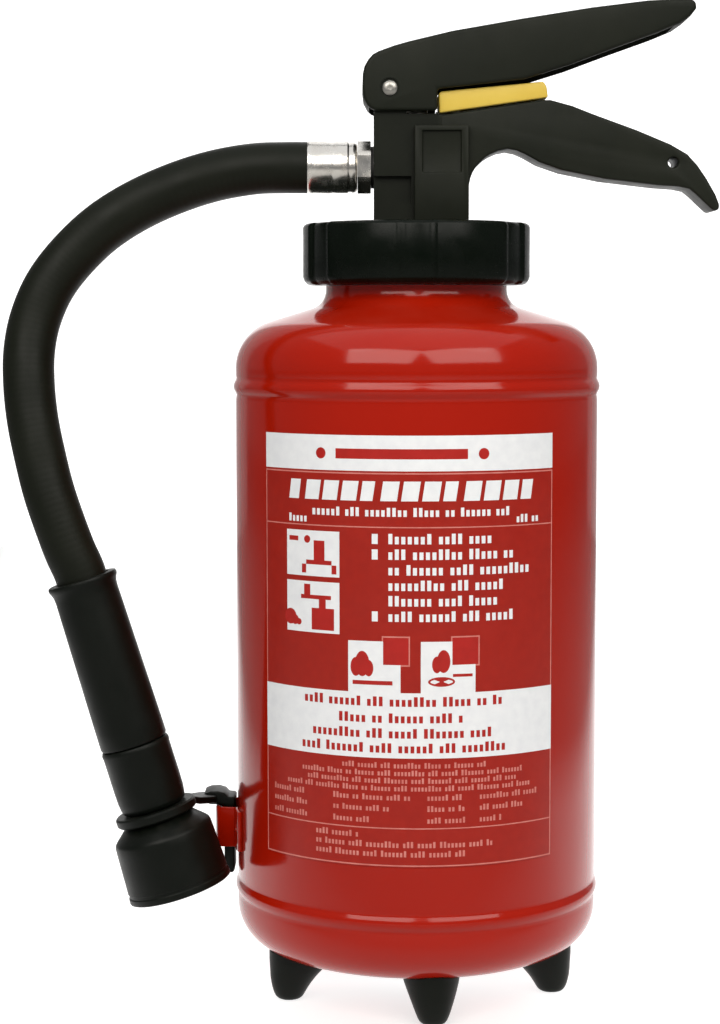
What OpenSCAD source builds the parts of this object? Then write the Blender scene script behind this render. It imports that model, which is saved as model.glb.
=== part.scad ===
// Small hand-held fire extinguisher with a gas cartridge inside, a squeeze lever and a discharge hose.
// Millimetres. Origin on the tank's axis at the floor, +Z up, +X towards the handles' tips, the label at -Y.

/* [Tank] */
// Outer diameter of the tank
tank_d = 130; // [128:1:134]
// Thickness of the tank's steel
tank_wall = 1.5; // [1.2:0.1:2]
// Height of the lower joint between the wall and the bottom dome
lower_joint_z = 41; // [38:1:46]
// Height of the upper joint between the wall and the top dome
upper_joint_z = 216.5; // [210:0.5:217]
// How far the two rolled beads stand out of the wall
bead_proud = 0.8; // [0.3:0.1:1.2]
// Outer diameter of the tank's neck
neck_d = 65; // [64:1:66]

/* [Stand] */
// Number of feet
foot_count = 5; // [3:1:6]
// Radius of the circle that the feet stand on
foot_circle_r = 50; // [46:1:52]
// Diameter of the flat pad under each foot
foot_pad_d = 9; // [7:1:11]

/* [Head] */
// Outer diameter of the union nut
nut_d = 81.2; // [78:0.2:84]
// Height of the union nut
nut_h = 22; // [20:1:24]
// Number of finger lobes round the union nut
nut_lobes = 6; // [5:1:8]
// Width of the valve column along Y
column_w = 21; // [19:0.5:21]
// Diameter of the lever's pivot pin
pivot_d = 5; // [4:0.5:6]
// Depth of the recessed window in each cheek of the carry handle's yoke
window_depth = 1.2; // [0.4:0.2:1.8]

/* [Handles] */
// Outside width of the squeeze lever's channel
lever_w = 26; // [25:0.5:28]
// Thickness of the lever's cheeks
lever_wall = 2; // [1.5:0.25:2]
// Width of the carry handle's beam
handle_w = 20.8; // [18:0.2:21]
// Width of the safety wedge between lever and carry handle
safety_w = 20.4; // [16:0.2:20.4]

/* [Hose] */
// Outer diameter of the hose
hose_d = 18.2; // [16:0.2:18.4]
// Number of sides of the hose's tube
hose_sides = 12; // [8:1:12]

/* [Nozzle] */
// Lean of the nozzle's axis from the vertical, in degrees
nozzle_lean = 17; // [10:1:20]
// Outer diameter of the nozzle head at its mouth
head_d = 37.2; // [34:0.2:37.4]
// Outer diameter of the grip sleeve
grip_d = 23.6; // [22:0.2:24]

/* [Hidden] */
$fn = 96;

red = [0.68, 0.09, 0.06];
black = [0.06, 0.065, 0.06];
rubber = [0.08, 0.08, 0.08];
steel = [0.75, 0.76, 0.78];
zinc = [0.62, 0.63, 0.65];
plate_chrome = [0.8, 0.8, 0.8];
brass = [0.8, 0.66, 0.36];
natural = [0.85, 0.86, 0.84];
film = [0.86, 0.2, 0.15];
yellow = [0.93, 0.78, 0.3];

tank_r = tank_d / 2;
neck_r = neck_d / 2;
knuckle_r = 16;
dome_floor_z = 16;
shoulder_r = 17.5;
shoulder_z = 225.5;
neck_top_z = 254;
nut_z = 255;
nut_top_z = nut_z + nut_h;
collar_r = neck_r - tank_wall - 0.1;
foot_twist = -84.6;
label_from = 216.2;
label_span = 97.8;
label_low_z = 58.5;
label_high_z = 204;
label_t = 0.25;

outlet_z = 297;
pivot_x = -9.6;
pivot_z = 323.9;
column_left = -15.2;
column_right = 8;
column_top = 311;
guard_top = 315.1;
through = 60;
side_recess = 2.4;
relief_x = -8.1;
relief_z = 288.6;
relief_gas_y = 5.6;
valve_low_z = 255;
bore_r = 3.1;
tag_hole = [90.4, 298];
tag_hole_r = 1.8;
relief_face = column_w / 2 - side_recess;
dip_x = -18.5;
riser_x = -10;

mouth = [-84.3, -25, 41.4];
clip_low = 27.2;
clip_high = 30.8;
grip_low = 54.7;
grip_high = 116;
hose_inside = 40;
bracket_outer_x = -72.7;
bracket_low_z = 52.5;
bracket_high_z = 67;

// The squeeze lever's outline, seen from the label's side
lever_side = [
    [-14.6, 316], [-17.4, 317.8], [-18.9, 320.5], [-19.3, 324], [-19.1, 329], [-17.4, 333.6],
    [-13.6, 336.7], [-8, 338.7], [-2.6, 340.2], [12.3, 343.7], [36.7, 347.9], [61.1, 351.7],
    [80.9, 354.1], [95.4, 354.8], [97.6, 353.6], [97.7, 351.3], [95.6, 348.6], [92, 346.1],
    [84.2, 342.9], [68.7, 337.4], [53.5, 331.8], [37.6, 326.9], [7.1, 323.6], [7.1, 316]
];
// The hollow of the lever's channel, open downwards
lever_hollow = [
    [-16.9, 310], [-16.9, 328], [-15.4, 332.4], [-12.4, 334.6], [-2, 338], [12.8, 341.4],
    [37, 345.7], [61.3, 349.5], [81, 351.9], [91, 352.2], [92.6, 350.4], [90, 347.6], [90, 330], [20, 310]
];
// The pad inside the lever that presses on the spindle
lever_pad = [[-5.5, 321.2], [4, 321.2], [5.6, 341], [-5.5, 338.5]];
// The carry handle's outline
handle_side = [
    [8.1, 314.6], [43.5, 319.8], [47, 319.9], [54.7, 317.8], [62.1, 314.9], [77.5, 309.3], [89.3, 304.4],
    [95.4, 300.9], [99, 297], [102.2, 292.4], [105.5, 286.7], [107, 282.9], [106.5, 281.2],
    [104.7, 281.1], [101.6, 283.9], [98.7, 286.7], [96.2, 288.7], [92.4, 289.5], [85.2, 290],
    [65.9, 292.3], [51.3, 295.3], [43.2, 298.1], [38.2, 300.9], [32, 302.8], [26, 301],
    [22.1, 298], [19.7, 294.8], [18.5, 291], [18.2, 287], [18.2, 277.6], [8.1, 277.6]
];
// The safety wedge's outline
safety_side = [[7.9, 315.4], [46.1, 320.8], [45.6, 324.6], [44.4, 326.3], [8.3, 322.9], [7.5, 322]];

// The hose's route from the ferrule to the grip sleeve's mouth
hose_route = [
    [-39, 0, 297], [-47, 0, 297], [-58, 0, 296.6], [-72, 0, 294.2], [-86, -0.3, 289.8], [-100, -1, 283.5],
    [-112.5, -2, 275.5], [-123, -3.5, 265.5], [-130.8, -5.5, 255], [-135.6, -8, 243.5], [-137.6, -11, 232],
    [-137.4, -14, 220], [-135.8, -17, 207.5], [-133, -19.8, 195], [-129.8, -22.2, 183], [-126, -23.8, 172],
    [-122.2, -24.8, 162]
];

// A point at the distance s up the nozzle's axis
function axis_point(s) = mouth + s * [-sin(nozzle_lean), 0, cos(nozzle_lean)];
// Points of an arc in a section drawing
function arc(cx, cy, r, from, to, steps) =
    [for (i = [0:steps]) let (a = from + (to - from) * i / steps) [cx + r * cos(a), cy + r * sin(a)]];
// A point of the smooth curve through a, b, c, d, between b and c
function spline(a, b, c, d, t) =
    0.5 * (2 * b + (c - a) * t + (2 * a - 5 * b + 4 * c - d) * t * t + (3 * b - a - 3 * c + d) * t * t * t);
function clamp_index(i, n) = max(0, min(n - 1, i));
function smooth_route(p, parts) = let (n = len(p)) concat(
    [for (i = [0:n - 2]) for (k = [0:parts - 1])
        spline(p[clamp_index(i - 1, n)], p[i], p[i + 1], p[clamp_index(i + 2, n)], k / parts)],
    [p[n - 1]]);
function unit(v) = v / norm(v);
function tangent(p, i) = unit(p[clamp_index(i + 1, len(p))] - p[clamp_index(i - 1, len(p))]);

// A tube of round section swept along the points p
module swept_tube(p, r, sides) {
    n = len(p);
    rings = [for (i = [0:n - 1]) let (
        t = tangent(p, i),
        u = unit(cross(t, [0, 1, 0.05])),
        v = cross(t, u))
        for (k = [0:sides - 1]) let (a = 360 * k / sides) p[i] + r * (cos(a) * u + sin(a) * v)];
    walls = [for (i = [0:n - 2]) for (k = [0:sides - 1]) let (m = (k + 1) % sides)
        [i * sides + k, i * sides + m, (i + 1) * sides + m, (i + 1) * sides + k]];
    first_cap = [for (k = [sides - 1:-1:0]) k];
    last_cap = [for (k = [0:sides - 1]) (n - 1) * sides + k];
    polyhedron(points = rings, faces = concat([first_cap], walls, [last_cap]), convexity = 6);
}

// A helical wire about the Z axis
module wire_spring(r, wire_r, low, high, turns, steps) {
    total = turns * steps;
    swept_tube([for (i = [0:total]) let (a = 360 * i / steps)
        [r * cos(a), r * sin(a), low + (high - low) * i / total]], wire_r, 8);
}

// Extrudes a side outline (X, Z) to the width w, centred on Y = 0
module side_plate(points, w) {
    translate([0, w / 2, 0])
    rotate([90, 0, 0])
    linear_extrude(w)
    polygon(points);
}

// A cylinder along Y through (x, z)
module cross_bar(x, z, r, w) {
    translate([x, w / 2, z])
    rotate([90, 0, 0])
    cylinder(h = w, r = r);
}

// A cylinder along X from x0 to x1 at the height z
module long_bar(x0, x1, z, r) {
    translate([x0, 0, z])
    rotate([0, 90, 0])
    cylinder(h = x1 - x0, r = r);
}

// Children drawn along +Z are laid on the nozzle's axis, with their zero at the mouth
module on_nozzle_axis() {
    translate(mouth)
    rotate([0, -nozzle_lean, 0])
    children();
}

// A turned ring with inner radius r0 and outer radius r1
module ring(r0, r1, low, high) {
    rotate_extrude()
    translate([r0, low])
    square([r1 - r0, high - low]);
}

module bottom_dome() {
    bead_r = tank_r + bead_proud;
    centre = tank_r - knuckle_r;
    centre_z = dome_floor_z + knuckle_r;
    crown_z = dome_floor_z + 4;
    rim_z = dome_floor_z + 1;
    crown_r = 20;
    rim_r = 30;
    outside = concat(
        [[0, crown_z], [crown_r, crown_z], [rim_r, rim_z]],
        arc(centre, centre_z, knuckle_r, -90, 0, 10),
        [[tank_r, 35], [bead_r, 36.5], [bead_r, 39.5], [tank_r, lower_joint_z]]);
    inside = concat(
        [[tank_r - tank_wall, lower_joint_z]],
        arc(centre, centre_z, knuckle_r - tank_wall, 0, -90, 10),
        [[rim_r, rim_z + tank_wall], [crown_r, crown_z + tank_wall], [0, crown_z + tank_wall]]);
    color(red)
    rotate_extrude()
    polygon(concat(outside, inside));
}

module shell_wall() {
    color(red)
    ring(tank_r - tank_wall, tank_r, lower_joint_z, upper_joint_z);
}

module top_dome() {
    bead_r = tank_r + bead_proud;
    centre = tank_r - shoulder_r;
    slope = 20;
    fillet_r = 7;
    fillet_z = 253.6;
    outside = concat(
        [[tank_r, upper_joint_z], [bead_r, upper_joint_z + 1.2], [bead_r, upper_joint_z + 4.4]],
        [[tank_r, upper_joint_z + 6]],
        arc(centre, shoulder_z, shoulder_r, 0, 90 - slope, 8),
        arc(neck_r + fillet_r, fillet_z, fillet_r, 270 - slope, 180, 6),
        [[neck_r, neck_top_z]]);
    inside = concat(
        [[neck_r - tank_wall, neck_top_z]],
        arc(neck_r + fillet_r, fillet_z, fillet_r + tank_wall, 180, 270 - slope, 6),
        arc(centre, shoulder_z, shoulder_r - tank_wall, 90 - slope, 0, 8),
        [[tank_r - tank_wall, upper_joint_z]]);
    color(red)
    rotate_extrude()
    polygon(concat(outside, inside));
}

module neck_collar() {
    color(zinc)
    union() {
        ring(25.5, collar_r, 249.6, 267);
        for (z = [257.5:3:264])
            ring(collar_r - 0.2, collar_r + 0.3, z, z + 1.2);
    }
}

module hose_bracket() {
    half_w = 8.6;
    plate = 1.5;
    height = bracket_high_z - bracket_low_z;
    tab_span = 8.4;
    tab_inner_angle = 6.6;
    tab_inset = 1.6;
    color(red)
    difference() {
        union() {
            difference() {
                translate([bracket_outer_x, -half_w, bracket_low_z])
                cube([10, 2 * half_w, height]);
                translate([bracket_outer_x + plate, -half_w + plate, bracket_low_z - 1])
                cube([12, 2 * (half_w - plate), height + 2]);
            }
            for (from = [180 - tab_inner_angle - tab_span, 180 + tab_inner_angle])
                rotate([0, 0, from])
                rotate_extrude(angle = tab_span)
                translate([tank_r - 0.5, bracket_low_z + tab_inset])
                square([plate + 0.5, height - 2 * tab_inset]);
        }
        translate([0, 0, bracket_low_z - 1])
        cylinder(h = height + 2, r = tank_r);
        for (turn = [168.5, 191.5])
            rotate([0, 0, turn])
            long_bar(tank_r - 2, tank_r + 4, 60.5, 1.3);
    }
}

module base_boss() {
    color(zinc)
    difference() {
        translate([0, 0, dome_floor_z])
        cylinder(h = 4, r = 8);
        translate([0, 0, dome_floor_z - 1])
        cylinder(h = 6, r = 3.05);
    }
}

// The space taken by the bottom dome, with a little clearance under it
module dome_space() {
    rotate_extrude()
    polygon(concat(
        [[0, dome_floor_z - 0.1]],
        arc(tank_r - knuckle_r, dome_floor_z + knuckle_r, knuckle_r + 0.1, -90, 0, 10),
        [[tank_r + 0.1, 60], [0, 60]]));
}

// One foot and its arm, pointing along +X before it is turned into place
module foot() {
    hull() {
        translate([foot_circle_r, 0, 0])
        cylinder(h = 0.4, r = foot_pad_d / 2, $fn = 32);
        translate([foot_circle_r - 0.3, 0, 1])
        cylinder(h = 6, r = 7, $fn = 32);
        translate([foot_circle_r - 2.5, 0, 16])
        cylinder(h = 2, r = 10.2, $fn = 32);
        translate([foot_circle_r - 9, 0, 14])
        cylinder(h = 1.5, r = 9.8, $fn = 32);
    }
    translate([14, -7, 12.6])
    cube([28, 14, 3.3]);
}

module base_spider() {
    color(black)
    difference() {
        union() {
            ring(3.3, 22, 12.6, dome_floor_z - 0.1);
            for (i = [0:foot_count - 1])
                rotate([0, 0, foot_twist + 360 / foot_count * i])
                foot();
        }
        translate([0, 0, 5])
        cylinder(h = 12, r = 3.3);
        dome_space();
    }
}

module base_screw() {
    color(zinc)
    union() {
        translate([0, 0, 8.6])
        cylinder(h = 3.9, r = 5.5);
        translate([0, 0, 12.4])
        cylinder(h = 7, r = 3);
    }
}

module label() {
    color(film)
    rotate([0, 0, label_from])
    rotate_extrude(angle = label_span)
    translate([tank_r + 0.02, label_low_z])
    square([label_t, label_high_z - label_low_z]);
}

module union_nut() {
    r = nut_d / 2;
    color(black)
    difference() {
        rotate_extrude()
        polygon([
            [31.7, nut_z + 1.2], [32.8, nut_z], [r - 2.6, nut_z], [r - 0.6, nut_z + 1.6], [r, nut_z + 3],
            [r, nut_top_z - 1.4], [r - 1.2, nut_top_z], [20.6, nut_top_z], [20.6, nut_top_z - 3.6],
            [31.7, nut_top_z - 3.6]
        ]);
        for (i = [0:nut_lobes - 1])
            rotate([0, 0, 263.2 + 360 / nut_lobes * i])
            translate([r + 5.2, 0, nut_z - 1])
            cylinder(h = nut_h + 2, r = 6.2);
    }
}

module head_gasket() {
    color(rubber)
    ring(26, 30.5, 267, 269);
}

module valve_body() {
    color(black)
    difference() {
        union() {
            translate([0, 0, valve_low_z])
            cylinder(h = 15, r = 24.9);
            translate([0, 0, 269])
            cylinder(h = 4.2, r = 30.9);
            translate([0, 0, 272])
            cylinder(h = 5.6, r = 20);
            translate([column_left, -column_w / 2, 277])
            cube([column_right - column_left, column_w, column_top - 277]);
            for (side = [-1, 1])
                translate([0, side * 8.05, 0])
                union() {
                    cross_bar(pivot_x, pivot_z, 5.8, 4.9);
                    translate([column_left, -2.45, column_top - 1])
                    cube([11.4, 4.9, pivot_z - column_top + 1]);
                    translate([-4, -2.45, column_top - 1])
                    cube([11.2, 4.9, guard_top - column_top + 1]);
                }
        }
        for (side = [-1, 1])
            translate([column_left - 1, side > 0 ? relief_face : -relief_face - side_recess - 1, 283.8])
            cube([14.2, side_recess + 1, 9.6]);
        cross_bar(pivot_x, pivot_z, pivot_d / 2 + 0.03, through);
        translate([0, 0, valve_low_z + 1])
        cylinder(h = 60, r = bore_r);
        translate([0, 0, valve_low_z - 1])
        cylinder(h = 12, r = 6.1);
        translate([0, 0, 304])
        cylinder(h = 8, r = 4.2);
        translate([dip_x, 0, valve_low_z - 1])
        cylinder(h = 9, r = 5.05);
        translate([riser_x, 0, 258])
        cylinder(h = 39, r = 2.6);
        long_bar(dip_x, riser_x, 260.5, 2.2);
        long_bar(column_left - 1, riser_x, outlet_z, 3.4);
        long_bar(column_left - 1, -10.2, outlet_z, 5.3);
        translate([relief_x, relief_gas_y, valve_low_z - 1])
        cylinder(h = relief_z - valve_low_z + 1, r = 1.1);
        cross_bar(0, 263.6, 1.2, through);
        translate([relief_x, 5.4, relief_z])
        rotate([-90, 0, 0])
        cylinder(h = 6, r = 3.05);
    }
}

module carry_handle() {
    cheek_w = 27;
    cheek_top = 310.9;
    color(black)
    difference() {
        union() {
            side_plate(handle_side, handle_w);
            translate([-1, -cheek_w / 2, 277.6])
            cube([19.2, cheek_w, cheek_top - 277.6]);
        }
        translate([-2, -column_w / 2 - 0.1, 270])
        cube([10.1, column_w + 0.2, 50]);
        for (side = [-1, 1])
            translate([1.9, side > 0 ? cheek_w / 2 - window_depth : -cheek_w / 2 - 1, 294.5])
            cube([13.6, window_depth + 1, 14.6]);
        cross_bar(tag_hole[0], tag_hole[1], tag_hole_r, through);
    }
}

module relief_plug() {
    color(brass)
    translate([relief_x, 0, relief_z])
    rotate([-90, 0, 0])
    union() {
        translate([0, 0, relief_gas_y + 1.2])
        cylinder(h = relief_face - relief_gas_y, r = 3);
        translate([0, 0, relief_face + 1.05])
        cylinder(h = 3, r = 4.6, $fn = 6);
    }
}

module relief_seal() {
    color(rubber)
    translate([relief_x, relief_face, relief_z])
    rotate([-90, 0, 0])
    ring(3.05, 4, 0.02, 1);
}

module pivot_pin() {
    color(steel)
    union() {
        cross_bar(pivot_x, pivot_z, pivot_d / 2, 26);
        for (side = [-1, 1])
            translate([0, side * (lever_w / 2 + 0.05), 0])
            cross_bar(pivot_x, pivot_z, 3, 1);
    }
}

module lever() {
    color(black)
    union() {
        difference() {
            side_plate(lever_side, lever_w);
            side_plate(lever_hollow, lever_w - 2 * lever_wall);
            cross_bar(pivot_x, pivot_z, pivot_d / 2 + 0.05, through);
            for (side = [-1, 1])
                translate([0, side * (lever_w / 2), 0])
                cross_bar(pivot_x, pivot_z, 3.5, 1.3);
        }
        side_plate(lever_pad, 9);
    }
}

module safety() {
    color(yellow)
    side_plate(safety_side, safety_w);
}

module spindle() {
    color(steel)
    rotate_extrude()
    polygon(concat(
        [[0, 264.2], [1.2, 266.4], [1.2, 268.4], [3, 270.9], [3, 299.4]],
        [[2.2, 299.4], [2.2, 300.6], [3, 300.6], [3, 317.2], [4.2, 317.2], [4.2, 318.3]],
        arc(0, 317.9, 3, 8, 90, 8)));
}

module spindle_seal() {
    color(rubber)
    translate([0, 0, 300])
    rotate_extrude()
    translate([2.64, 0])
    circle(r = 0.42, $fn = 24);
}

module spindle_spring() {
    color(steel)
    wire_spring(3.65, 0.32, 304.5, 316.8, 6, 20);
}

module cartridge() {
    color(zinc)
    rotate_extrude()
    polygon(concat(
        [[0, 142.5], [6, 142.5]],
        arc(7.5, 148.5, 5, -80, 0, 6),
        [[12.5, 232]],
        arc(6.5, 232, 6, 0, 70, 6),
        [[6, 240], [6, 250.5], [9.4, 251.3], [9.4, 253.6], [6, 253.6], [6, 260], [2.4, 260], [2.4, 246]],
        [[4, 240], [9.5, 232], [10.6, 150], [0, 145]]));
}

module cartridge_seal() {
    color(rubber)
    ring(6.3, 9.6, 253.7, 254.95);
}

module cartridge_disc() {
    color(brass)
    translate([0, 0, 260.05])
    cylinder(h = 0.5, r = 5.6);
}

module dip_tube() {
    color(natural)
    translate([dip_x, 0, 0])
    ring(3.7, 5, 34, 258.2);
}

module dip_strainer() {
    color(natural)
    translate([dip_x, 0, 0])
    difference() {
        union() {
            ring(5.05, 6.4, 30, 42);
            translate([0, 0, 26])
            cylinder(h = 4.1, r = 6.4);
        }
        for (i = [0:3])
            rotate([0, 0, 45 * i])
            translate([-7, -0.6, 27])
            cube([14, 1.2, 5]);
    }
}

module outlet_adapter() {
    color(plate_chrome)
    difference() {
        union() {
            long_bar(column_left - 1.3, -10.4, outlet_z, 5.2);
            intersection() {
                long_bar(-21, column_left - 1.1, outlet_z, 9.3);
                translate([-21, 0, outlet_z])
                rotate([0, 90, 0])
                cylinder(h = 4.7, r = 9.8, $fn = 6);
            }
        }
        long_bar(-22, -10, outlet_z, 3.2);
    }
}

module adapter_seal() {
    color(rubber)
    translate([column_left - 1.05, 0, outlet_z])
    rotate([0, 90, 0])
    ring(5.35, 7.4, 0, 1);
}

module ferrule() {
    color(plate_chrome)
    translate([0, 0, outlet_z])
    rotate([0, -90, 0])
    rotate_extrude()
    polygon([
        [5.6, 21.1], [8.2, 21.1], [8.9, 22], [8.9, 24.4], [9.15, 24.9], [9.15, 29.2], [8.75, 29.8],
        [8.75, 31.4], [9.15, 32], [9.15, 36.2], [9.35, 36.9], [9.35, 38.4], [9.1, 38.8], [5.6, 38.8]
    ]);
}

module hose_tail() {
    color(brass)
    translate([0, 0, outlet_z])
    rotate([0, -90, 0])
    rotate_extrude()
    polygon([
        [3.2, 21.05], [5.5, 21.05], [5.5, 25], [5, 26.5], [5.5, 27], [5, 30.5], [5.5, 31], [5, 34.5],
        [5.5, 35], [4.6, 38.6], [3.2, 38.6]
    ]);
}

module hose() {
    straight = [for (s = [grip_high + 2:-14:grip_high - hose_inside + 1]) axis_point(s)];
    route = concat(smooth_route(concat(hose_route, [axis_point(grip_high + 2)]), 2),
        [for (i = [1:len(straight) - 1]) straight[i]], [axis_point(grip_high - hose_inside)]);
    color(rubber)
    swept_tube(route, hose_d / 2, hose_sides);
}

module grip_sleeve() {
    r = grip_d / 2;
    bore = hose_d / 2 + 0.35;
    color(black)
    on_nozzle_axis()
    rotate_extrude()
    polygon([
        [bore, 75.7], [5.6, 75.4], [5.6, grip_low], [r - 0.2, grip_low], [r + 0.2, grip_low + 1],
        [r, grip_low + 8], [r - 0.5, grip_high - 6], [r - 0.3, grip_high - 4], [r + 0.6, grip_high - 1.4],
        [r + 0.5, grip_high - 0.2], [r, grip_high], [bore, grip_high]
    ]);
}

module nozzle_tube() {
    color(black)
    on_nozzle_axis()
    rotate_extrude()
    polygon([
        [3.6, 26.6], [8, 26.6], [8, clip_high + 0.3], [11.3, clip_high + 0.3], [12, clip_high + 4],
        [12.1, grip_low - 2], [11.6, grip_low - 0.1], [3.6, grip_low - 0.1]
    ]);
}

module nozzle_spigot() {
    color(brass)
    on_nozzle_axis()
    rotate_extrude()
    polygon([
        [3.2, grip_low - 0.05], [5.5, grip_low - 0.05], [5.5, 60], [5, 61.5], [5.5, 62], [5, 66],
        [5.5, 66.5], [5, 70.5], [5.5, 71], [4.8, 75], [3.2, 75]
    ]);
}

module nozzle_clip() {
    tongue_x = -69.8;
    color(black)
    union() {
        on_nozzle_axis()
        ring(8.1, 14.6, clip_low, clip_high);
        hull() {
            on_nozzle_axis()
            rotate([0, 0, 42])
            translate([11.2, -3.5, clip_low + 0.1])
            cube([1.5, 7, clip_high - clip_low - 0.3]);
            translate([tongue_x, -6.2, bracket_high_z + 0.4])
            cube([3.7, 12.4, 2.6]);
        }
        translate([tongue_x, -6.2, 42.3])
        cube([3.7, 12.4, bracket_high_z - 41]);
        translate([tongue_x - 4, -6.2, bracket_high_z + 0.4])
        cube([8, 12.4, 2.6]);
        translate([-74, 6.2, bracket_high_z + 2.5])
        rotate([90, 0, 0])
        intersection() {
            cylinder(h = 12.4, r = 5.2);
            translate([-6, -0.2, -1])
            cube([12, 3, 15]);
        }
    }
}

module nozzle_head() {
    r = head_d / 2;
    color(black)
    on_nozzle_axis()
    rotate_extrude()
    polygon([
        [r - 2.6, 0], [r - 0.8, 0], [r, 1], [r - 1, 21.4], [r - 1.5, 22.4], [11.4, 26.9], [8.2, 26.9],
        [8.2, 20], [r - 3, 17.5]
    ]);
}

module nozzle_insert() {
    color(black)
    on_nozzle_axis()
    difference() {
        union() {
            ring(0, 15.5, 12.4, 15.4);
            ring(0, 7.9, 15.3, 25.2);
        }
        translate([0, 0, 11])
        cylinder(h = 5, r = 2.2);
        translate([0, 0, 15.5])
        cylinder(h = 12, r = 3.6);
        for (i = [0:5])
            rotate([0, 0, 60 * i])
            translate([10.2, 0, 11])
            cylinder(h = 6, r = 1.5);
    }
}

module nozzle_seal() {
    color(rubber)
    on_nozzle_axis()
    ring(3.7, 7.8, 25.25, 26.55);
}

bottom_dome();
shell_wall();
top_dome();
neck_collar();
hose_bracket();
base_boss();
base_spider();
base_screw();
label();
union_nut();
head_gasket();
valve_body();
carry_handle();
relief_plug();
relief_seal();
pivot_pin();
lever();
safety();
spindle();
spindle_seal();
spindle_spring();
cartridge();
cartridge_seal();
cartridge_disc();
dip_tube();
dip_strainer();
outlet_adapter();
adapter_seal();
ferrule();
hose_tail();
hose();
grip_sleeve();
nozzle_tube();
nozzle_spigot();
nozzle_clip();
nozzle_head();
nozzle_insert();
nozzle_seal();
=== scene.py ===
"""A small hand-held fire extinguisher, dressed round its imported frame.

Metres throughout, in the frame's own axes: +Z up the tank, +X towards the handles' tips and the label at -Y.
Each sub-assembly is a class that holds its sizes and builds its own pieces; each finish is a small class too.
"""

import logging
import math
from dataclasses import dataclass, field
from enum import Enum
from typing import Callable, Iterable, Sequence

import bpy
from mathutils import Matrix, Vector


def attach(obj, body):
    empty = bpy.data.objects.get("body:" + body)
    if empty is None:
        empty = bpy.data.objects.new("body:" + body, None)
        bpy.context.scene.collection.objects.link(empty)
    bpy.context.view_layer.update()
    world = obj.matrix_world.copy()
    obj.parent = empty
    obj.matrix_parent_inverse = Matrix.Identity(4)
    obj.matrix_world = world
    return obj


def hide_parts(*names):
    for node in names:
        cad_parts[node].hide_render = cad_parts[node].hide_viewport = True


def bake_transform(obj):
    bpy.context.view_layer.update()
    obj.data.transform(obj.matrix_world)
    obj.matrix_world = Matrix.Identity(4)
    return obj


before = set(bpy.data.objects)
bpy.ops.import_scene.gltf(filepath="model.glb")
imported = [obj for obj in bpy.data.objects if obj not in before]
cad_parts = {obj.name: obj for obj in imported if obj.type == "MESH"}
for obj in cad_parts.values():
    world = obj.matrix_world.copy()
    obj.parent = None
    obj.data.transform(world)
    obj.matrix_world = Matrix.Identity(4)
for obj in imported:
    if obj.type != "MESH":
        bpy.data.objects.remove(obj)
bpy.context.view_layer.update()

log = logging.getLogger("extinguisher")
MM = 0.001
Point = tuple[float, float]
Colour = tuple[float, float, float]


class Body(Enum):
    """The frame's moving bodies."""

    TANK = "tank"
    LEVER = "squeeze_lever"
    SAFETY = "safety_wedge"
    SPINDLE = "piercing_spindle"
    NUT = "cap_nut"
    NOZZLE = "nozzle"


class Slot(Enum):
    """The record's material slots."""

    RED = "red_paint"
    BLACK = "black_moulding"
    GLOSS = "gloss_black"
    YELLOW = "yellow_plastic"
    HOSE = "hose_rubber"
    GRIP = "grip_rubber"
    LABEL = "label_film"
    CHROME = "chrome"
    STEEL = "bright_metal"


# ---------------------------------------------------------------------------------------- finishes


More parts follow.
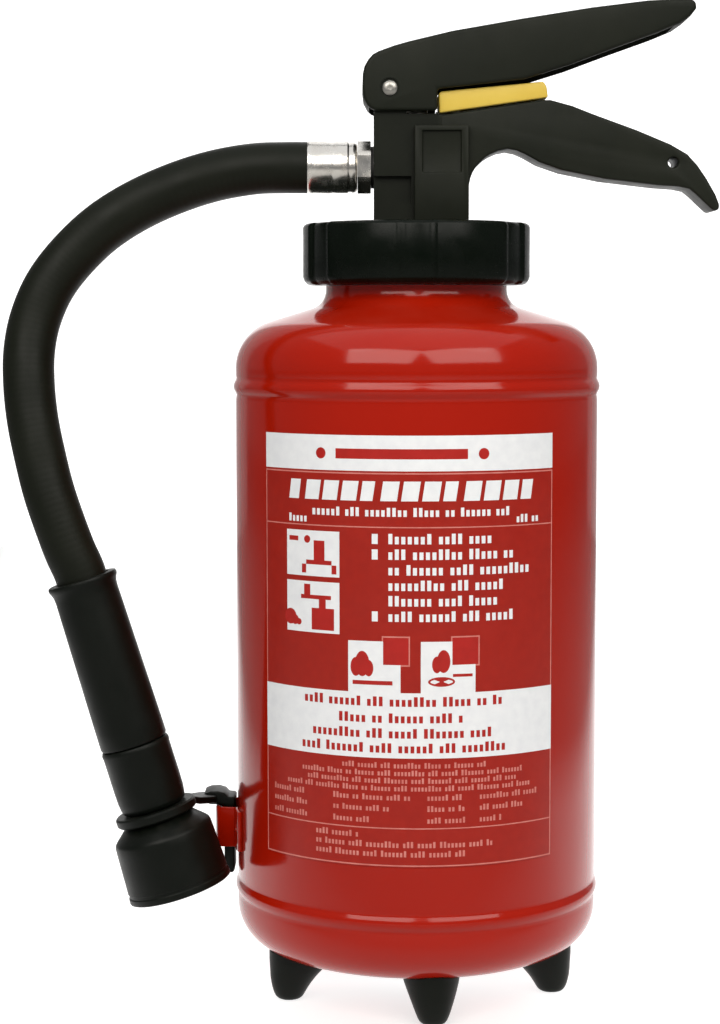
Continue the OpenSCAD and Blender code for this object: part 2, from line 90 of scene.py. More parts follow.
class Sheet:
    """A material's node sheet, with short calls for the nodes that the finishes share."""

    def __init__(self, name: str) -> None:
        """Starts an empty sheet with a shader and an output.

        Args:
            name: the material's name.
        """
        self.material = bpy.data.materials.new(name)
        self.material.use_nodes = True
        self.tree = self.material.node_tree
        self.tree.nodes.clear()
        self.shader = self.tree.nodes.new("ShaderNodeBsdfPrincipled")
        output = self.tree.nodes.new("ShaderNodeOutputMaterial")
        self.tree.links.new(self.shader.outputs[0], output.inputs[0])
        self.place = self.tree.nodes.new("ShaderNodeTexCoord").outputs["Object"]

    def link(self, source: bpy.types.NodeSocket, target: bpy.types.NodeSocket) -> None:
        """Joins two sockets."""
        self.tree.links.new(source, target)

    def noise(self, scale: float, detail: float = 2.0, stretch: Colour = (1, 1, 1)) -> bpy.types.NodeSocket:
        """Noise in the object's own space.

        Args:
            scale: cells per metre.
            detail: octaves of finer noise.
            stretch: how much each axis is squeezed before the noise is read.

        Returns:
            The noise's grey output.
        """
        mapping = self.tree.nodes.new("ShaderNodeMapping")
        mapping.inputs["Scale"].default_value = stretch
        self.link(self.place, mapping.inputs["Vector"])
        noise = self.tree.nodes.new("ShaderNodeTexNoise")
        noise.inputs["Scale"].default_value = scale
        noise.inputs["Detail"].default_value = detail
        self.link(mapping.outputs[0], noise.inputs["Vector"])
        return noise.outputs[0]

    def spread(self, source: bpy.types.NodeSocket, low: float, high: float,
               start: float = 0.3, stop: float = 0.7) -> bpy.types.NodeSocket:
        """Maps a grey signal onto a range of values.

        Args:
            source: the signal.
            low: the value given at start and below.
            high: the value given at stop and above.
            start: the signal's low end.
            stop: the signal's high end.

        Returns:
            The mapped value's output.
        """
        node = self.tree.nodes.new("ShaderNodeMapRange")
        for key, value in (("From Min", start), ("From Max", stop), ("To Min", low), ("To Max", high)):
            node.inputs[key].default_value = value
        self.link(source, node.inputs["Value"])
        return node.outputs[0]

    def mix(self, factor: bpy.types.NodeSocket, first: Colour, second: Colour) -> bpy.types.NodeSocket:
        """Blends two colours by a grey signal and returns the blended colour's output."""
        node = self.tree.nodes.new("ShaderNodeMix")
        node.data_type = "RGBA"
        self.link(factor, node.inputs[0])
        node.inputs[6].default_value = (*first, 1)
        node.inputs[7].default_value = (*second, 1)
        return node.outputs[2]

    def over(self, factor: bpy.types.NodeSocket, base: bpy.types.NodeSocket,
             second: Colour) -> bpy.types.NodeSocket:
        """Lays a colour over a colour signal by a grey factor and returns the result's output."""
        node = self.tree.nodes.new("ShaderNodeMix")
        node.data_type = "RGBA"
        self.link(factor, node.inputs[0])
        self.link(base, node.inputs[6])
        node.inputs[7].default_value = (*second, 1)
        return node.outputs[2]

    def relief(self, height: bpy.types.NodeSocket, depth: float, strength: float = 1.0,
               under: bpy.types.NodeSocket | None = None) -> bpy.types.NodeSocket:
        """A bump from a grey height.

        Args:
            height: the grey signal.
            depth: the relief's real depth in metres.
            strength: how strongly it shows.
            under: the normal of a coarser bump that this one lies on.

        Returns:
            The bumped normal's output.
        """
        bump = self.tree.nodes.new("ShaderNodeBump")
        bump.inputs["Distance"].default_value = depth
        bump.inputs["Strength"].default_value = strength
        self.link(height, bump.inputs["Height"])
        if under is not None:
            self.link(under, bump.inputs["Normal"])
        return bump.outputs[0]

    def along(self, axis: int) -> bpy.types.NodeSocket:
        """The place along one axis of the object's space, in metres."""
        split = self.tree.nodes.new("ShaderNodeSeparateXYZ")
        self.link(self.place, split.inputs[0])
        return split.outputs[axis]

    def size_along(self, axis: int) -> bpy.types.NodeSocket:
        """The distance from the middle along one axis, in metres."""
        node = self.tree.nodes.new("ShaderNodeMath")
        node.operation = "ABSOLUTE"
        self.link(self.along(axis), node.inputs[0])
        return node.outputs[0]

    def facing_up(self) -> bpy.types.NodeSocket:
        """How far the surface faces up, from 0 to 1, where dust settles."""
        geometry = self.tree.nodes.new("ShaderNodeNewGeometry")
        split = self.tree.nodes.new("ShaderNodeSeparateXYZ")
        self.link(geometry.outputs["Normal"], split.inputs[0])
        return self.spread(split.outputs[2], 0.0, 1.0, 0.35, 1.0)

    def times(self, first: bpy.types.NodeSocket,
              second: bpy.types.NodeSocket | float) -> bpy.types.NodeSocket:
        """Multiplies two grey signals, or a signal by a number."""
        node = self.tree.nodes.new("ShaderNodeMath")
        node.operation = "MULTIPLY"
        self.link(first, node.inputs[0])
        if isinstance(second, float):
            node.inputs[1].default_value = second
        else:
            self.link(second, node.inputs[1])
        return node.outputs[0]

    def set(self, **values: float | Colour) -> None:
        """Sets shader sockets by name, with underscores for spaces."""
        for key, value in values.items():
            socket = self.shader.inputs[key.replace("_", " ")]
            socket.default_value = (*value, 1) if isinstance(value, tuple) else value


@dataclass(frozen=True)
class PowderCoat:
    """Gloss powder coat: a smooth deep colour with a faint orange peel and a little dust on top."""

    name: str = "red powder coat"
    colour: Colour = (0.37, 0.0095, 0.0012)
    deep: Colour = (0.325, 0.007, 0.0008)
    dust: Colour = (0.42, 0.07, 0.045)
    roughness: float = 0.12
    peel_scale: float = 420.0
    peel_depth: float = 0.00003

    def material(self) -> bpy.types.Material:
        """Builds the coat's material."""
        sheet = Sheet(self.name)
        tone = sheet.mix(sheet.noise(9.0, 3.0), self.deep, self.colour)
        settled = sheet.times(sheet.facing_up(), sheet.spread(sheet.noise(60.0, 5.0), 0.0, 0.16))
        sheet.link(sheet.over(settled, tone, self.dust), sheet.shader.inputs["Base Color"])
        sheet.link(sheet.spread(sheet.noise(35.0, 4.0), self.roughness - 0.03, self.roughness + 0.05),
                   sheet.shader.inputs["Roughness"])
        peel = sheet.relief(sheet.noise(self.peel_scale, 1.0), self.peel_depth, 0.35)
        sheet.link(peel, sheet.shader.inputs["Normal"])
        sheet.set(Specular_IOR_Level=0.3, Coat_Weight=0.06, Coat_Roughness=0.05)
        return sheet.material


@dataclass(frozen=True)
class Moulding:
    """Moulded plastic or rubber: a spark-eroded skin, faint flow marks and handling marks."""

    name: str
    colour: Colour
    worn: Colour
    roughness: float
    grain_scale: float
    grain_depth: float
    specular: float = 0.45
    flow: Colour = (1.0, 1.0, 0.35)
    dust: Colour = (0.03, 0.03, 0.024)

    def material(self) -> bpy.types.Material:
        """Builds the moulding's material."""
        sheet = Sheet(self.name)
        flow = sheet.noise(55.0, 4.0, self.flow)
        tone = sheet.mix(sheet.spread(flow, 0.0, 1.0), self.colour, self.worn)
        settled = sheet.times(sheet.facing_up(), sheet.spread(sheet.noise(240.0, 6.0), 0.0, 0.3, 0.42, 0.7))
        sheet.link(sheet.over(settled, tone, self.dust), sheet.shader.inputs["Base Color"])
        sheet.link(sheet.spread(sheet.noise(140.0, 5.0), self.roughness - 0.07, self.roughness + 0.08),
                   sheet.shader.inputs["Roughness"])
        coarse = sheet.relief(sheet.noise(self.grain_scale * 0.35, 2.0), self.grain_depth * 1.5, 0.4)
        grain = sheet.relief(sheet.noise(self.grain_scale, 3.0), self.grain_depth, 0.6, coarse)
        sheet.link(grain, sheet.shader.inputs["Normal"])
        sheet.set(Specular_IOR_Level=self.specular)
        return sheet.material


@dataclass(frozen=True)
class HoseRubber:
    """Hose rubber cured in a cloth wrap: faint rings along the hose and a soft bloom."""

    name: str = "wrapped hose rubber"
    colour: Colour = (0.0036, 0.0048, 0.0022)
    bloom: Colour = (0.0066, 0.0080, 0.0044)
    ring_pitch: float = 0.0022
    along: str = "along"

    def material(self) -> bpy.types.Material:
        """Builds the rubber's material."""
        sheet = Sheet(self.name)
        path = sheet.tree.nodes.new("ShaderNodeAttribute")
        path.attribute_name = self.along
        wave = sheet.tree.nodes.new("ShaderNodeMath")
        wave.operation = "SINE"
        sheet.link(sheet.times(path.outputs["Fac"], 2 * math.pi / self.ring_pitch), wave.inputs[0])
        tone = sheet.mix(sheet.spread(sheet.noise(38.0, 5.0), 0.0, 1.0), self.colour, self.bloom)
        sheet.link(tone, sheet.shader.inputs["Base Color"])
        sheet.link(sheet.spread(sheet.noise(90.0, 4.0), 0.42, 0.56), sheet.shader.inputs["Roughness"])
        rings = sheet.relief(wave.outputs[0], 0.00003, 0.35)
        grain = sheet.relief(sheet.noise(2600.0, 2.0), 0.00002, 0.5, rings)
        sheet.link(grain, sheet.shader.inputs["Normal"])
        sheet.set(Specular_IOR_Level=0.15)
        return sheet.material


@dataclass(frozen=True)
class Plate:
    """Bare or plated metal with turning marks and a little tarnish."""

    name: str
    colour: Colour
    tarnish: Colour
    roughness: float
    marks: Colour = (1.0, 14.0, 14.0)

    def material(self) -> bpy.types.Material:
        """Builds the metal's material."""
        sheet = Sheet(self.name)
        stain = sheet.spread(sheet.noise(160.0, 6.0), 0.0, 0.35, 0.42, 0.72)
        sheet.link(sheet.mix(stain, self.colour, self.tarnish), sheet.shader.inputs["Base Color"])
        sheet.link(sheet.spread(sheet.noise(320.0, 4.0), self.roughness - 0.05, self.roughness + 0.12),
                   sheet.shader.inputs["Roughness"])
        lines = sheet.relief(sheet.noise(900.0, 2.0, self.marks), 0.000006, 0.25)
        sheet.link(lines, sheet.shader.inputs["Normal"])
        sheet.set(Metallic=1.0)
        return sheet.material


@dataclass(frozen=True)
class Ink:
    """A printed or plain film: an even colour with a fine screen mottle under a thin varnish."""

    name: str
    colour: Colour
    mottle: Colour
    roughness: float = 0.3

    def material(self) -> bpy.types.Material:
        """Builds the ink's material."""
        sheet = Sheet(self.name)
        tone = sheet.mix(sheet.spread(sheet.noise(300.0, 4.0), 0.0, 1.0), self.colour, self.mottle)
        sheet.link(tone, sheet.shader.inputs["Base Color"])
        sheet.link(sheet.spread(sheet.noise(80.0, 3.0), self.roughness - 0.04, self.roughness + 0.08),
                   sheet.shader.inputs["Roughness"])
        sheet.link(sheet.relief(sheet.noise(180.0, 2.0), 0.00003, 0.2), sheet.shader.inputs["Normal"])
        sheet.set(Specular_IOR_Level=0.38)
        return sheet.material


@dataclass
class Paints:
    """Every finish of the extinguisher, made once and shared."""

    red: bpy.types.Material = field(default_factory=lambda: PowderCoat().material())
    black: bpy.types.Material = field(default_factory=lambda: Moulding(
        "black nylon moulding", (0.0056, 0.0074, 0.0040),
        (0.0088, 0.0106, 0.0060), 0.5, 2400.0, 0.00003, 0.17).material())
    gloss: bpy.types.Material = field(default_factory=lambda: Moulding(
        "gloss black moulding", (0.0012, 0.0030, 0.0014),
        (0.0024, 0.0044, 0.0026), 0.26, 900.0, 0.000012, 0.13).material())
    column: bpy.types.Material = field(default_factory=lambda: Moulding(
        "valve body moulding", (0.0040, 0.0054, 0.0028),
        (0.0064, 0.0080, 0.0044), 0.48, 1800.0, 0.00003, 0.15).material())
    grip: bpy.types.Material = field(default_factory=lambda: Moulding(
        "grip rubber", (0.0018, 0.0030, 0.0018),
        (0.0034, 0.0048, 0.0032), 0.42, 1500.0, 0.00002, 0.16).material())
    foot: bpy.types.Material = field(default_factory=lambda: Moulding(
        "foot moulding", (0.0018, 0.0030, 0.0016),
        (0.0040, 0.0054, 0.0034), 0.42, 1500.0, 0.00003, 0.14).material())
    yellow: bpy.types.Material = field(default_factory=lambda: Moulding(
        "yellow moulding", (0.62, 0.43, 0.05), (0.69, 0.50, 0.08), 0.42, 1500.0, 0.00003, 0.4,
        dust=(0.74, 0.62, 0.3)).material())
    seal: bpy.types.Material = field(default_factory=lambda: Moulding(
        "seal rubber", (0.02, 0.02, 0.02), (0.03, 0.03, 0.028), 0.6, 2600.0, 0.00002).material())
    tube: bpy.types.Material = field(default_factory=lambda: Moulding(
        "natural plastic", (0.62, 0.62, 0.57), (0.7, 0.7, 0.66), 0.45, 1800.0, 0.00002,
        dust=(0.6, 0.6, 0.56)).material())
    hose: bpy.types.Material = field(default_factory=lambda: HoseRubber().material())
    chrome: bpy.types.Material = field(default_factory=lambda: Plate(
        "nickel plate", (0.78, 0.76, 0.72), (0.52, 0.47, 0.40), 0.2).material())
    steel: bpy.types.Material = field(default_factory=lambda: Plate(
        "bright steel", (0.42, 0.41, 0.38), (0.26, 0.25, 0.22), 0.32, (14.0, 1.0, 14.0)).material())
    plated: bpy.types.Material = field(default_factory=lambda: Plate(
        "zinc plate", (0.55, 0.56, 0.57), (0.36, 0.36, 0.34), 0.38, (14.0, 14.0, 1.0)).material())
    brass: bpy.types.Material = field(default_factory=lambda: Plate(
        "turned brass", (0.68, 0.5, 0.22), (0.42, 0.3, 0.13), 0.28).material())
    film: bpy.types.Material = field(default_factory=lambda: Ink(
        "red label film", (0.335, 0.0095, 0.0018), (0.30, 0.0075, 0.0014), 0.34).material())
    white_ink: bpy.types.Material = field(default_factory=lambda: Ink(
        "white ink", (0.82, 0.84, 0.86), (0.76, 0.78, 0.81), 0.34).material())
    faint_ink: bpy.types.Material = field(default_factory=lambda: Ink(
        "thin white ink", (0.62, 0.22, 0.19), (0.56, 0.15, 0.125), 0.36).material())
    red_ink: bpy.types.Material = field(default_factory=lambda: Ink(
        "red ink", (0.42, 0.012, 0.008), (0.36, 0.01, 0.006), 0.34).material())


# --------------------------------------------------------------------------------------- modelling


class Bench:
    """The modelling moves that the pieces share, each a short run of operators."""

    @staticmethod
    def pick(*pieces: bpy.types.Object) -> None:
        """Selects only these objects, the first of them active."""
        bpy.ops.object.select_all(action="DESELECT")
        for piece in pieces:
            piece.select_set(True)
        if pieces:
            bpy.context.view_layer.objects.active = pieces[0]

    @staticmethod
    def edit(piece: bpy.types.Object, work: Callable[[], None]) -> None:
        """Runs some edit-mode work on all of a piece's mesh."""
        Bench.pick(piece)
        bpy.ops.object.mode_set(mode="EDIT")
        bpy.ops.mesh.select_mode(type="VERT")
        bpy.ops.mesh.select_all(action="SELECT")
        work()
        bpy.ops.object.mode_set(mode="OBJECT")

    @staticmethod
    def wire(name: str, points: Sequence[Sequence[float]]) -> bpy.types.Object:
        """A closed wire through the points, pulled out of a circle.

        Args:
            name: the new object's name.
            points: the corners, in order.

        Returns:
            The wire's object.
        """
        Bench.pick()
        bpy.ops.mesh.primitive_circle_add(vertices=len(points), radius=0.01)
        wire = bpy.context.object
        wire.name = name
        for vertex, point in zip(wire.data.vertices, points):
            vertex.co = point
        return wire

    @staticmethod
    def prism(name: str, outline: Sequence[Point], half: float, middle: float = 0.0) -> bpy.types.Object:
        """A plate with a side outline (X, Z), extruded along Y.

        Args:
            name: the piece's name.
            outline: the corners in metres.
            half: half its width.
            middle: the Y of its middle.

        Returns:
            The plate's object.
        """
        piece = Bench.wire(name, [(x, middle - half, z) for x, z in outline])

        def raise_it() -> None:
            """Fills the outline and raises it into a solid."""
            bpy.ops.mesh.edge_face_add()
            bpy.ops.mesh.extrude_region_move(TRANSFORM_OT_translate={"value": (0, 2 * half, 0)})
            bpy.ops.mesh.select_all(action="SELECT")
            bpy.ops.mesh.normals_make_consistent(inside=False)

        Bench.edit(piece, raise_it)
        return piece

    @staticmethod
    def turned(name: str, profile: Sequence[Point], steps: int = 128,
               closed: bool = True) -> bpy.types.Object:
        """A solid spun about Z.

        Args:
            name: the piece's name.
            profile: the section's corners (radius, height) in metres.
            steps: how many steps make the full turn.
            closed: whether the last corner joins the first; an open section begins and ends on the axis.

        Returns:
            The turned object.
        """
        piece = Bench.wire(name, [(r, 0, z) for r, z in profile])

        def spin_it() -> None:
            """Spins the profile once round the axis."""
            if not closed:
                bpy.ops.mesh.select_all(action="DESELECT")
                bpy.ops.object.mode_set(mode="OBJECT")
                ends = {0, len(profile) - 1}
                for edge in piece.data.edges:
                    edge.select = set(edge.vertices) == ends
                bpy.ops.object.mode_set(mode="EDIT")
                bpy.ops.mesh.select_mode(type="EDGE")
                bpy.ops.mesh.delete(type="EDGE")
                bpy.ops.mesh.select_mode(type="VERT")
                bpy.ops.mesh.select_all(action="SELECT")
            bpy.ops.mesh.spin(steps=steps, angle=2 * math.pi, center=(0, 0, 0), axis=(0, 0, 1))
            bpy.ops.mesh.select_all(action="SELECT")
            bpy.ops.mesh.remove_doubles(threshold=1e-6)
            bpy.ops.mesh.normals_make_consistent(inside=False)

        Bench.edit(piece, spin_it)
        return piece

    @staticmethod
    def stacked(name: str, rings: Sequence[Sequence[Sequence[float]]]) -> bpy.types.Object:
        """A closed skin drawn over rings of points, each ring with as many points as the first.

        Args:
            name: the piece's name.
            rings: the rings from one end to the other.

        Returns:
            The skin's object, capped at both ends.
        """
        piece = Bench.wire(name, rings[0])
        count = len(rings[0])
        Bench.pick(piece)
        bpy.ops.object.mode_set(mode="EDIT")
        bpy.ops.mesh.select_all(action="SELECT")
        bpy.ops.mesh.edge_face_add()
        for _ in rings[1:]:
            bpy.ops.mesh.extrude_region_move(TRANSFORM_OT_translate={"value": (0, 0, 0.001)})
        bpy.ops.object.mode_set(mode="OBJECT")
        for index, ring in enumerate(rings):
            for vertex, point in zip(piece.data.vertices[index * count:(index + 1) * count], ring):
                vertex.co = point
        Bench.edit(piece, lambda: bpy.ops.mesh.normals_make_consistent(inside=False))
        return piece

    @staticmethod
    def modify(piece: bpy.types.Object, kind: str, **settings: object) -> bpy.types.Object:
        """Adds a modifier, sets it and applies it."""
        Bench.pick(piece)
        modifier = piece.modifiers.new(kind.lower(), kind)
        for key, value in settings.items():
            setattr(modifier, key, value)
        bpy.ops.object.modifier_apply(modifier=modifier.name)
        return piece

    @staticmethod
    def rounded(piece: bpy.types.Object, width: float, segments: int = 3,
                angle: float = 30.0) -> bpy.types.Object:
        """Rounds every edge sharper than the angle."""
        return Bench.modify(piece, "BEVEL", width=width, segments=segments, limit_method="ANGLE",
                            angle_limit=math.radians(angle), use_clamp_overlap=True, harden_normals=False)

    @staticmethod
    def cut(piece: bpy.types.Object, *tools: bpy.types.Object) -> bpy.types.Object:
        """Cuts the tools out of a piece and throws them away."""
        for tool in tools:
            Bench.modify(piece, "BOOLEAN", operation="DIFFERENCE", solver="EXACT", object=tool)
            bpy.data.objects.remove(tool)
        return piece

    @staticmethod
    def joined(piece: bpy.types.Object, *others: bpy.types.Object) -> bpy.types.Object:
        """Makes one object of several."""
        Bench.pick(piece, *others)
        bpy.ops.object.join()
        return piece

    @staticmethod
    def moved(piece: bpy.types.Object, matrix: Matrix) -> bpy.types.Object:
        """Moves a piece's mesh, and leaves its object at the origin."""
        piece.data.transform(matrix @ piece.matrix_world)
        piece.matrix_world = Matrix.Identity(4)
        piece.data.update()
        return piece

    @staticmethod
    def rod(name: str, start: Vector, end: Vector, radius: float, sides: int = 48) -> bpy.types.Object:
        """A plain round bar between two points, used for cutting and as a start."""
        Bench.pick()
        line = end - start
        bpy.ops.mesh.primitive_cylinder_add(vertices=sides, radius=radius, depth=line.length)
        bar = bpy.context.object
        bar.name = name
        turn = line.to_track_quat("Z", "Y").to_matrix().to_4x4()
        return Bench.moved(bar, Matrix.Translation((start + end) / 2) @ turn)

    @staticmethod
    def swept(name: str, line: Sequence[Vector], radius: float, sides: int) -> bpy.types.Object:
        """A capped round bar swept along a line of points.

        Args:
            name: the piece's name.
            line: the points of its middle line.
            radius: its radius in metres.
            sides: how many sides its section has.

        Returns:
            The bar's mesh object.
        """
        data = bpy.data.curves.new(name, "CURVE")
        data.dimensions = "3D"
        data.twist_mode = "MINIMUM"
        data.bevel_depth = radius
        data.bevel_resolution = sides // 4
        data.use_fill_caps = True
        spline = data.splines.new("POLY")
        spline.points.add(len(line) - 1)
        for point, place in zip(spline.points, line):
            point.co = (*place, 1)
        bar = bpy.data.objects.new(name, data)
        bpy.context.scene.collection.objects.link(bar)
        Bench.pick(bar)
        bpy.ops.object.convert(target="MESH")
        bar = bpy.context.object
        Bench.edit(bar, lambda: (bpy.ops.mesh.remove_doubles(threshold=1e-7),
                                 bpy.ops.mesh.normals_make_consistent(inside=False)))
        return bar

    @staticmethod
    def copied(piece: bpy.types.Object, name: str, matrix: Matrix) -> bpy.types.Object:
        """A moved copy of a piece with its own mesh."""
        Bench.pick(piece)
        bpy.ops.object.duplicate(linked=False)
        twin = bpy.context.object
        twin.name = name
        return Bench.moved(twin, matrix)

    @staticmethod
    def shown(piece: bpy.types.Object, body: Body, paint: bpy.types.Material, slot: Slot,
              *nodes: str, smooth: float = 32.0) -> bpy.types.Object:
        """Finishes a piece: shading, finish, body and the CAD nodes that it stands for.

        Args:
            piece: the finished mesh.
            body: the body that it rides on.
            paint: its finish.
            slot: the record's slot; not used.
            nodes: the CAD nodes that it replaces.
            smooth: edges sharper than this angle stay crisp.

        Returns:
            The piece.
        """
        Bench.moved(piece, Matrix.Identity(4))
        Bench.pick(piece)
        bpy.ops.object.shade_smooth_by_angle(angle=math.radians(smooth))
        piece.data.materials.clear()
        piece.data.materials.append(paint)
        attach(piece, body.value)
        if nodes:
            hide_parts(*nodes)
        log.info("%s: %d faces, rides on %s", piece.name, len(piece.data.polygons), body.value)
        return piece


def arc(cx: float, cz: float, radius: float, start: float, stop: float, steps: int) -> list[Point]:
    """Points of an arc in a section, all in millimetres and degrees."""
    turns = [math.radians(start + (stop - start) * i / steps) for i in range(steps + 1)]
    return [(cx + radius * math.cos(a), cz + radius * math.sin(a)) for a in turns]


def metres(points: Iterable[Sequence[float]]) -> list[tuple[float, ...]]:
    """Millimetre points in metres."""
    return [tuple(value * MM for value in point) for point in points]


# ------------------------------------------------------------------------------------------ studio


@dataclass
class Studio:
    """The camera, the pale floor and the soft lights."""

    eye: Vector = field(default_factory=lambda: Vector((-0.0203, -0.820, 0.2438)))
    pitch: float = -4.9
    roll: float = -0.08
    long_side: float = 1024.0
    focal: float = 2274.0
    sensor: float = 36.0
    side_glow: float = 0.2

    def camera(self) -> None:
        """Sets the camera up at the viewing angle."""
        data = bpy.data.cameras.new("camera")
        data.sensor_width = self.sensor
        data.lens = self.focal / self.long_side * self.sensor
        data.clip_start = 0.01
        data.clip_end = 30
        camera = bpy.data.objects.new("camera", data)
        bpy.context.scene.collection.objects.link(camera)
        tilt = Matrix.Rotation(math.radians(90 + self.pitch), 4, "X")
        spin = Matrix.Rotation(math.radians(self.roll), 4, "Z")
        camera.matrix_world = Matrix.Translation(self.eye) @ tilt @ spin
        bpy.context.scene.camera = camera

    def lamp(self, name: str, azimuth: float, elevation: float, distance: float,
             size: Point, power: float, tint: Colour = (1, 1, 1)) -> None:
        """A soft box that faces the tank's middle.

        Args:
            name: the light's name.
            azimuth: degrees to the right of the camera's side.
            elevation: degrees above the floor.
            distance: metres from the tank's middle.
            size: width and height in metres.
            power: watts.
            tint: the light's colour.
        """
        data = bpy.data.lights.new(name, "AREA")
        data.shape = "RECTANGLE"
        data.size, data.size_y = size
        data.energy = power
        data.color = tint
        lamp = bpy.data.objects.new(name, data)
        bpy.context.scene.collection.objects.link(lamp)
        a, e = math.radians(azimuth), math.radians(elevation)
        out = Vector((math.sin(a) * math.cos(e), -math.cos(a) * math.cos(e), math.sin(e)))
        lamp.location = Vector((0, 0, 0.2)) + out * distance
        lamp.rotation_euler = out.to_track_quat("Z", "Y").to_euler()

    def floor(self) -> None:
        """A pale floor and a plain world."""
        Bench.pick()
        bpy.ops.mesh.primitive_plane_add(size=30, location=(0, 0, -0.0002))
        floor = bpy.context.object
        floor.name = "floor"
        sheet = Sheet("pale floor")
        tone = sheet.mix(sheet.noise(3.0, 3.0), (0.5, 0.5, 0.5), (0.54, 0.54, 0.54))
        sheet.link(tone, sheet.shader.inputs["Base Color"])
        behind = sheet.spread(sheet.along(1), 0.0, 1.0, -0.14, 0.0)
        middle = sheet.spread(sheet.size_along(0), 1.0, 0.0, 0.3, 0.5)
        glow = sheet.times(sheet.times(behind, middle), 0.95)
        sheet.link(glow, sheet.shader.inputs["Emission Strength"])
        sheet.set(Roughness=0.8, Specular_IOR_Level=0.1, Emission_Color=(1.0, 1.0, 1.0))
        floor.data.materials.append(sheet.material)
        world = bpy.data.worlds.new("studio")
        world.use_nodes = True
        world.node_tree.nodes["Background"].inputs[0].default_value = (1, 1, 1, 1)
        world.node_tree.nodes["Background"].inputs[1].default_value = 0.22
        bpy.context.scene.world = world

    def backdrop(self) -> None:
        """A bright plain wall behind, which also draws the pale bands down the tank's sides."""
        Bench.pick()
        bpy.ops.mesh.primitive_plane_add(size=3.2, location=(0, 1.6, 1.59), rotation=(math.radians(90), 0, 0))
        wall = bpy.context.object
        wall.name = "backdrop"
        sheet = Sheet("bright wall")
        tone = sheet.mix(sheet.noise(2.0, 2.0), (0.5, 0.5, 0.5), (0.54, 0.54, 0.54))
        sheet.link(tone, sheet.shader.inputs["Base Color"])
        sides = sheet.spread(sheet.size_along(0), 1.0, self.side_glow, 0.43, 0.5)
        sheet.link(sides, sheet.shader.inputs["Emission Strength"])
        sheet.set(Roughness=0.8, Specular_IOR_Level=0.0, Emission_Color=(1.0, 1.0, 1.0))
        wall.data.materials.append(sheet.material)

    def build(self) -> None:
        """Builds the whole studio."""
        bpy.context.scene.view_settings.view_transform = "Standard"
        self.camera()
        self.floor()
        self.backdrop()
        self.lamp("left box", -25, 34, 1.5, (1.08, 0.8), 12, (1.0, 0.96, 0.9))
        self.lamp("right box", 31, 34, 1.5, (1.16, 0.8), 12, (1.0, 0.96, 0.9))
        self.lamp("top box", 0, 80, 1.4, (2.4, 1.6), 8)


# -------------------------------------------------------------------------------------------- hose


@dataclass
class NozzleAxis:
    """The line that the nozzle and its grip sleeve are turned about."""

    mouth: Vector = field(default_factory=lambda: Vector((-0.0843, -0.025, 0.0414)))
    lean: float = 17.0

    def matrix(self) -> Matrix:
        """Takes a piece turned about Z, with its mouth at 0, to its place."""
        return Matrix.Translation(self.mouth) @ Matrix.Rotation(math.radians(-self.lean), 4, "Y")

    def at(self, up: float) -> Vector:
        """The point so many metres up the axis."""
        return self.matrix() @ Vector((0, 0, up))


@dataclass
class HoseLine:
    """The discharge hose, one smooth tube from the ferrule into the grip sleeve."""

    axis: NozzleAxis
    diameter: float = 0.0182
    parts: int = 5
    sides: int = 40
    length: float = 0.255
    sleeve_end: float = 0.118
    inside_end: float = 0.076
    route: tuple[tuple[float, float, float], ...] = (
        (-39, 0, 297), (-47, 0, 297), (-58, 0, 296.6), (-72, 0, 294.2), (-86, -0.3, 289.8), (-100, -1, 283.5),
        (-112.5, -2, 275.5), (-123, -3.5, 265.5), (-130.8, -5.5, 255), (-135.6, -8, 243.5),
        (-137.6, -11, 232),
        (-137.4, -14, 220), (-135.8, -17, 207.5), (-133, -19.8, 195), (-129.8, -22.2, 183),
        (-126, -23.8, 172),
        (-122.2, -24.8, 162),
    )

    def centreline(self) -> list[Vector]:
        """The hose's middle line, smoothed between the route's points."""
        points = [Vector(p) * MM for p in self.route] + [self.axis.at(self.sleeve_end)]
        ends = [points[0] * 2 - points[1], *points, self.axis.at(self.sleeve_end - 0.014)]
        line = []
        for i in range(1, len(ends) - 2):
            a, b, c, d = ends[i - 1:i + 3]
            for k in range(self.parts):
                t = k / self.parts
                line.append(0.5 * (2 * b + (c - a) * t + (2 * a - 5 * b + 4 * c - d) * t * t
                                   + (3 * b - a - 3 * c + d) * t ** 3))
        steps = 9
        span = self.sleeve_end - self.inside_end
        return line + [self.axis.at(self.sleeve_end - span * i / steps) for i in range(steps + 1)]

    def build(self, paints: Paints) -> bpy.types.Object:
        """Builds the hose's tube and returns it."""
        line = self.centreline()
        hose = Bench.swept("discharge_hose", line, self.diameter / 2, self.sides)
        Bench.pick(hose)
        bpy.ops.object.shade_smooth_by_angle(angle=math.radians(40))
        self.measure_along(hose, line)
        hose.data.materials.clear()
        hose.data.materials.append(paints.hose)
        tuple(self.axis.at(0.128))
        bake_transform(hose)
        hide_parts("hose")
        log.info("%s: %d faces, bends between tank and nozzle", hose.name, len(hose.data.polygons))
        return hose

    @staticmethod
    def measure_along(hose: bpy.types.Object, line: Sequence[Vector]) -> None:
        """Writes each vertex's distance along the hose as an attribute, for the finish's rings."""
        run = [0.0]
        for a, b in zip(line, line[1:]):
            run.append(run[-1] + (b - a).length)
        along = hose.data.attributes.new("along", "FLOAT", "POINT")
        for index, vertex in enumerate(hose.data.vertices):
            nearest = min(range(len(line)), key=lambda i: (line[i] - vertex.co).length_squared)
            along.data[index].value = run[nearest]

    def declare(self) -> None:
        line = self.centreline()


# -------------------------------------------------------------------------------------------- tank


